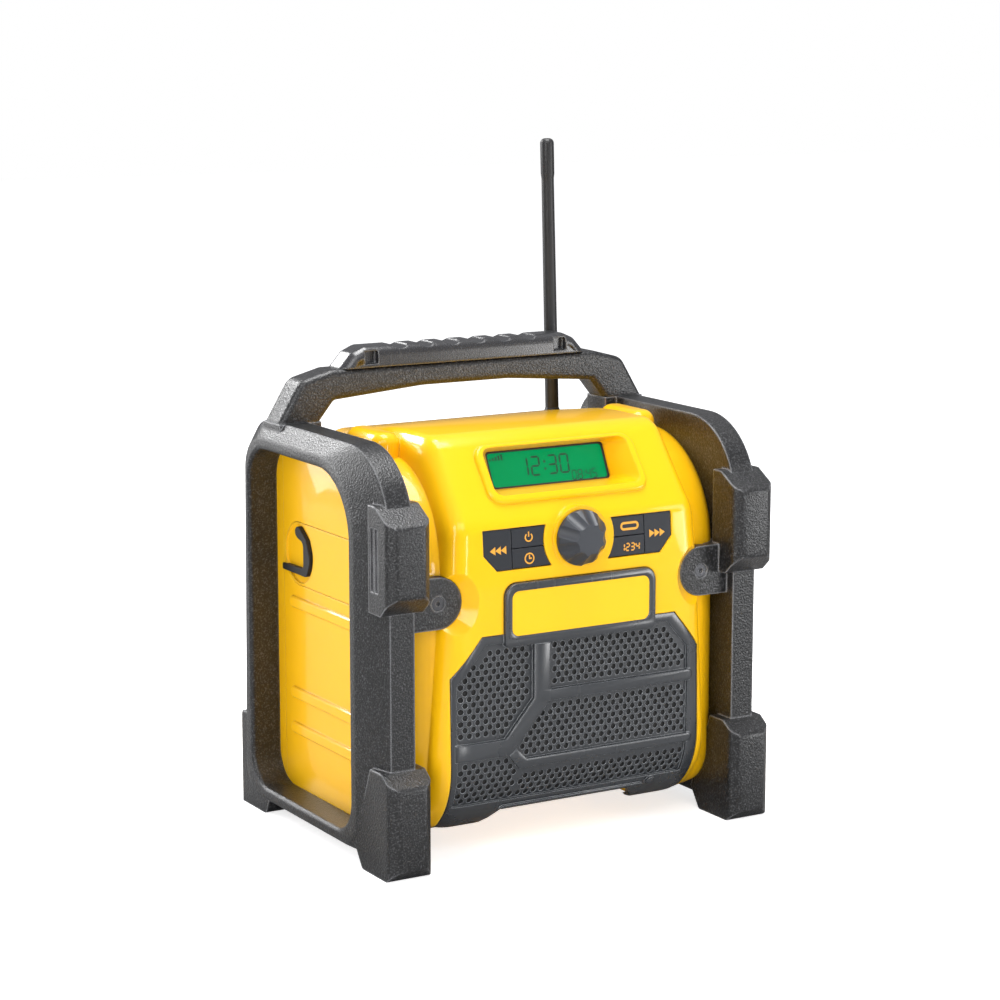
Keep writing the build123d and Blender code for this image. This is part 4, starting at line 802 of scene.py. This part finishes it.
def build_grille():
    """Sheet with its holes, the band round it, ribs, chin bead, stud and the plate's frame in one piece."""
    outer = [(-GRILLE_HALF_X, GRILLE_LOW_Z), *CHIN_NOTCH, (GRILLE_HALF_X, GRILLE_LOW_Z), *GRILLE_TOP]
    holes = [ring(x, z, HOLE_R, HOLE_SIDES) for x, z in hole_spots()]
    sheet = plate([outer, *holes], SHEET_DEPTH, SHEET_THICK)
    band = plate([outer, FIELD_EDGE], BAND_DEPTH, SHEET_DEPTH - BAND_DEPTH + BITE, BAND_ROUND)
    tops = [RIB_DEPTH + RIB_STEP * step for step in range(len(RIBS))]
    ribs = [plate([rib], top, SHEET_DEPTH - top + BITE, RIB_ROUND) for rib, top in zip(RIBS, tops)]
    bead = plate([CHIN_BEAD], BEAD_DEPTH, BEAD_THICK, BEAD_ROUND)
    stud = plate([ring(*CHIN_STUD, STUD_R, STUD_SIDES)], BEAD_DEPTH - STUD_RISE, STUD_THICK, STUD_ROUND)
    for shape in (sheet, band, *ribs, bead, stud):
        wrap_on_front(shape)
    whole = join_shapes([sheet, band, *ribs, bead, stud, plate_frame()])
    shade_by_angle(whole, GRILLE_SMOOTH_ANGLE)
    add_piece("perforated_grille", whole, "radio", "grille_grey", stands_for="speaker_grille")


def build_shade_sheet():
    """Dark sheet behind the grille's holes: painted shade that makes the holes read black."""
    shade_sheet = plate([HOLE_SHADE], HOLE_SHADE_DEPTH, HOLE_SHADE_THICK)
    wrap_on_front(shade_sheet)
    shade_by_angle(shade_sheet)
    add_piece("grille_shade_sheet", shade_sheet, "radio", "cone_black")


# ---------------------------------------------------------------- display
WINDOW_AT = Vector((0, -55.1 * MM + SHIFT_Y, 220.8 * MM))
WINDOW_TILT = math.radians(25.7)
MAIN_DIGITS = {"left": -18.5, "low": -4.6, "high": 11.0, "wide": 5.4, "stroke": 1.15}
SMALL_DIGITS = {"left": 16.0, "low": -9.4, "high": 5.4, "wide": 2.7, "stroke": 0.65}
DIGIT_LEAN = 0.09
DIGIT_PITCH = 1.5                            # in widths of a digit
DIGIT_GAP = 0.12                             # each end of a segment draws back by this, in strokes
COLON_PITCH = 0.65
COLON_X = 0.2
COLON_LEVELS = (0.3, 0.7)
COLON_R = 0.7                                # in strokes
COLON_SIDES = 8
SIGNAL_BARS = 5
SIGNAL_LEFT = -37.0
SIGNAL_LOW = 6.2
SIGNAL_PITCH = 2.0
SIGNAL_WIDE = 1.2
SIGNAL_FIRST = 1.2                           # height of the first bar
SIGNAL_GROW = 0.6
INK_THICK = 0.04 * MM
INK_DEPTH = 2.28 * MM
PANE_HALF_X = 42.8
PANE_HALF_Z = 14.1
PANE_R = 2.0
PANE_THICK = 0.7 * MM
PANE_ROUND = 0.15 * MM
PANE_DEPTH = 0.9 * MM
SEGMENTS = {"0": "abcdef", "1": "bc", "2": "abdeg", "3": "abcdg", "4": "bcfg", "5": "acdfg", "6": "acdefg",
            "7": "abc", "8": "abcdefg", "9": "abcdfg"}
# Side and level of a segment's first end, then of its other end.
SEGMENT_ENDS = {"a": (0, 2, 1, 2), "b": (1, 1, 1, 2), "c": (1, 0, 1, 1), "d": (0, 0, 1, 0),
                "e": (0, 0, 0, 1), "f": (0, 1, 0, 2), "g": (0, 1, 1, 1)}


def on_display(shape, depth):
    """Place a flat drawing, made in X and Z round the window's middle, on the display's plane."""
    bmesh.ops.translate(shape, verts=shape.verts, vec=(0, depth, 0))
    bmesh.ops.rotate(shape, verts=shape.verts, matrix=Matrix.Rotation(-WINDOW_TILT, 3, "X"))
    bmesh.ops.translate(shape, verts=shape.verts, vec=WINDOW_AT)


def bar(x0, z0, x1, z1, stroke):
    """Six-sided bar between two points, with pointed ends."""
    length = math.hypot(x1 - x0, z1 - z0)
    along = ((x1 - x0) / length, (z1 - z0) / length)
    across = (-along[1], along[0])
    half = stroke / 2
    marks = ((0, 0), (half, -half), (length - half, -half), (length, 0), (length - half, half), (half, half))
    return [(x0 + along[0] * run + across[0] * side, z0 + along[1] * run + across[1] * side)
            for run, side in marks]


def digit_bars(text, left, low, high, wide, stroke):
    """Outlines of a seven-segment number; a colon takes less than a digit's place."""
    levels = (low, low + high / 2, low + high)
    bars = []
    for sign in text:
        if sign == ":":
            for level in COLON_LEVELS:
                x = left + wide * COLON_X + high * level * DIGIT_LEAN
                bars.append(ring(x, low + high * level, stroke * COLON_R, COLON_SIDES))
            left += wide * COLON_PITCH
            continue
        for name in SEGMENTS[sign]:
            side0, level0, side1, level1 = SEGMENT_ENDS[name]
            x0, z0 = left + side0 * wide, levels[level0]
            x1, z1 = left + side1 * wide, levels[level1]
            run = stroke * DIGIT_GAP / math.hypot(x1 - x0, z1 - z0)
            x0, x1 = x0 + (x1 - x0) * run, x1 - (x1 - x0) * run
            z0, z1 = z0 + (z1 - z0) * run, z1 - (z1 - z0) * run
            bars.append([(x + (z - low) * DIGIT_LEAN, z) for x, z in bar(x0, z0, x1, z1, stroke)])
        left += wide * DIGIT_PITCH
    return bars


def signal_bars():
    """Row of growing bars for the signal's strength."""
    bars = []
    for step in range(SIGNAL_BARS):
        left = SIGNAL_LEFT + step * SIGNAL_PITCH
        top = SIGNAL_LOW + SIGNAL_FIRST + step * SIGNAL_GROW
        right = left + SIGNAL_WIDE
        bars.append([(left, SIGNAL_LOW), (right, SIGNAL_LOW), (right, top), (left, top)])
    return bars


def build_display_marks():
    """Digits and bars that are on, as a thin print on the lit panel."""
    outlines = [*digit_bars("12:30", **MAIN_DIGITS), *digit_bars("08:45", **SMALL_DIGITS), *signal_bars()]
    marks = join_shapes([plate([outline], 0, INK_THICK) for outline in outlines])
    on_display(marks, INK_DEPTH)
    add_piece("display_digits", marks, "radio", "lcd_green", "display_ink")


def build_window():
    """Clear pane over the display."""
    outline = round_box(-PANE_HALF_X, PANE_HALF_X, -PANE_HALF_Z, PANE_HALF_Z, PANE_R, PANE_R)
    pane = plate([outline], 0, PANE_THICK, PANE_ROUND)
    on_display(pane, PANE_DEPTH)
    shade_by_angle(pane)
    add_piece("display_pane", pane, "radio", "clear_window", stands_for="display_window")


# ---------------------------------------------------------------- key symbols
KEY_FACE_Y = FRONT_Y + 0.5 * MM
KEY_LEAN_Z = 160.0 * MM
KEY_LEAN = (91.4 - 88.6) / (195.6 - 160.0)
MARK_LIFT = 0.05 * MM
OUTER_KEY_X = 54.0
INNER_KEY_X = 33.5
TOP_KEY_Z = 187.0
LOW_KEY_Z = 174.9
SEEK_Z = 181.2
MARK_THICK = 0.03 * MM
LINE = 0.85                                  # width of the signs' lines
ARROW_LONG = 3.6
ARROW_HALF = 2.4
ARROW_TIPS = (-0.5, 0.5, 1.5)                # outwards from the key's middle, in lengths of an arrowhead
POWER_R = 2.7
POWER_GAP = 38                               # degrees from the top to either end of the arc
POWER_STEPS = 20
POWER_BAR_LOW = 0.3
POWER_BAR_RISE = 0.6
POWER_BAR_R = 0.3
CLOCK_R = 3.3
CLOCK_SIDES = 28
HOUR_HAND = 1.6
MINUTE_HAND = 2.0
OBLONG_HALF_X = 6.4
OBLONG_HALF_Z = 2.5
OBLONG_LINE = 1.4
OBLONG_SHIFT = 1.5
OBLONG_R = 2.4
OBLONG_INNER_R = 1.0
NUMBER_AT = (-5.0, -2.2)                     # the number's low left corner, from the key's middle
KEY_DIGITS = {"high": 4.0, "wide": 2.3, "stroke": LINE}


def on_keys(shape):
    """Lay a flat drawing on the leaning key faces."""
    for vertex in shape.verts:
        vertex.co.y += KEY_FACE_Y + (vertex.co.z - KEY_LEAN_Z) * KEY_LEAN - MARK_LIFT


def seek_arrows(x, z, side):
    """Three arrowheads that point outwards."""
    tips = [x + side * step * ARROW_LONG for step in ARROW_TIPS]
    back = side * ARROW_LONG
    return [[[(tip - back, z - ARROW_HALF), (tip, z), (tip - back, z + ARROW_HALF)]] for tip in tips]


def power_sign(x, z):
    """Open circle with a bar in its gap."""
    sweep = 360 - 2 * POWER_GAP
    turns = [math.radians(POWER_GAP + sweep * step / POWER_STEPS) for step in range(POWER_STEPS + 1)]
    arc = [(x + POWER_R * math.sin(turn), z + POWER_R * math.cos(turn)) for turn in turns]
    inner_r = POWER_R - LINE
    inner = [(x + inner_r * math.sin(turn), z + inner_r * math.cos(turn)) for turn in reversed(turns)]
    stroke = round_box(x - LINE / 2, x + LINE / 2, z + POWER_BAR_LOW, z + POWER_R + POWER_BAR_RISE,
                       POWER_BAR_R, POWER_BAR_R)
    return [[arc + inner], [stroke]]


def clock_sign(x, z):
    """Ring with two hands."""
    half = LINE / 2
    hands = [(x - half, z - half), (x + HOUR_HAND, z - half), (x + HOUR_HAND, z + half),
             (x + half, z + half), (x + half, z + MINUTE_HAND), (x - half, z + MINUTE_HAND)]
    return [[ring(x, z, CLOCK_R, CLOCK_SIDES), ring(x, z, CLOCK_R - LINE, CLOCK_SIDES)], [hands]]


def oblong_sign(x, z):
    """Rounded oblong ring."""
    inner_x, inner_z = OBLONG_HALF_X - OBLONG_LINE, OBLONG_HALF_Z - OBLONG_LINE
    outer = round_box(x - OBLONG_HALF_X, x + OBLONG_HALF_X, z - OBLONG_HALF_Z, z + OBLONG_HALF_Z,
                      OBLONG_R, OBLONG_R)
    inner = round_box(x - inner_x, x + inner_x, z - inner_z, z + inner_z, OBLONG_INNER_R, OBLONG_INNER_R)
    return [[outer, inner]]


def number_sign(text, x, z):
    return [[outline] for outline in digit_bars(text, x + NUMBER_AT[0], z + NUMBER_AT[1], **KEY_DIGITS)]


def add_marks(name, drawings, key):
    """Flat signs that ride on the key under them."""
    shape = join_shapes([plate(outlines, 0, MARK_THICK) for outlines in drawings])
    on_keys(shape)
    add_piece(name, shape, key, "key_slate", "amber_marks")


def build_key_marks():
    add_marks("seek_down_mark", seek_arrows(-OUTER_KEY_X, SEEK_Z, -1), "left_outer_key")
    add_marks("seek_up_mark", seek_arrows(OUTER_KEY_X, SEEK_Z, 1), "right_outer_key")
    add_marks("power_mark", power_sign(-INNER_KEY_X, TOP_KEY_Z), "left_inner_top_key")
    add_marks("clock_mark", clock_sign(-INNER_KEY_X, LOW_KEY_Z), "left_inner_low_key")
    add_marks("memory_mark", oblong_sign(INNER_KEY_X + OBLONG_SHIFT, TOP_KEY_Z), "right_inner_top_key")
    add_marks("number_mark", number_sign("1234", INNER_KEY_X, LOW_KEY_Z), "right_inner_low_key")


# ---------------------------------------------------------------- carried-over pieces
SOFT_EDGES = {"tuning_knob": 0.5 * MM, "aux_flap_pull": 0.4 * MM, "badge_plate": 0.3 * MM}
REMADE = {"speaker_grille", "display_window"}  # nodes that have their own piece above


def dress_nodes():
    """Every other node's own shape as a finished piece."""
    for node in sorted(frame["nodes"]):
        if node in REMADE:
            continue
        piece = add_piece(f"{node}_skin", skin_of(node), body_of_node[node], slots[node], stands_for=node)
        if node in SOFT_EDGES:
            soften(piece, SOFT_EDGES[node])


dress_nodes()
build_grille()
build_shade_sheet()
build_window()
build_display_marks()
build_key_marks()
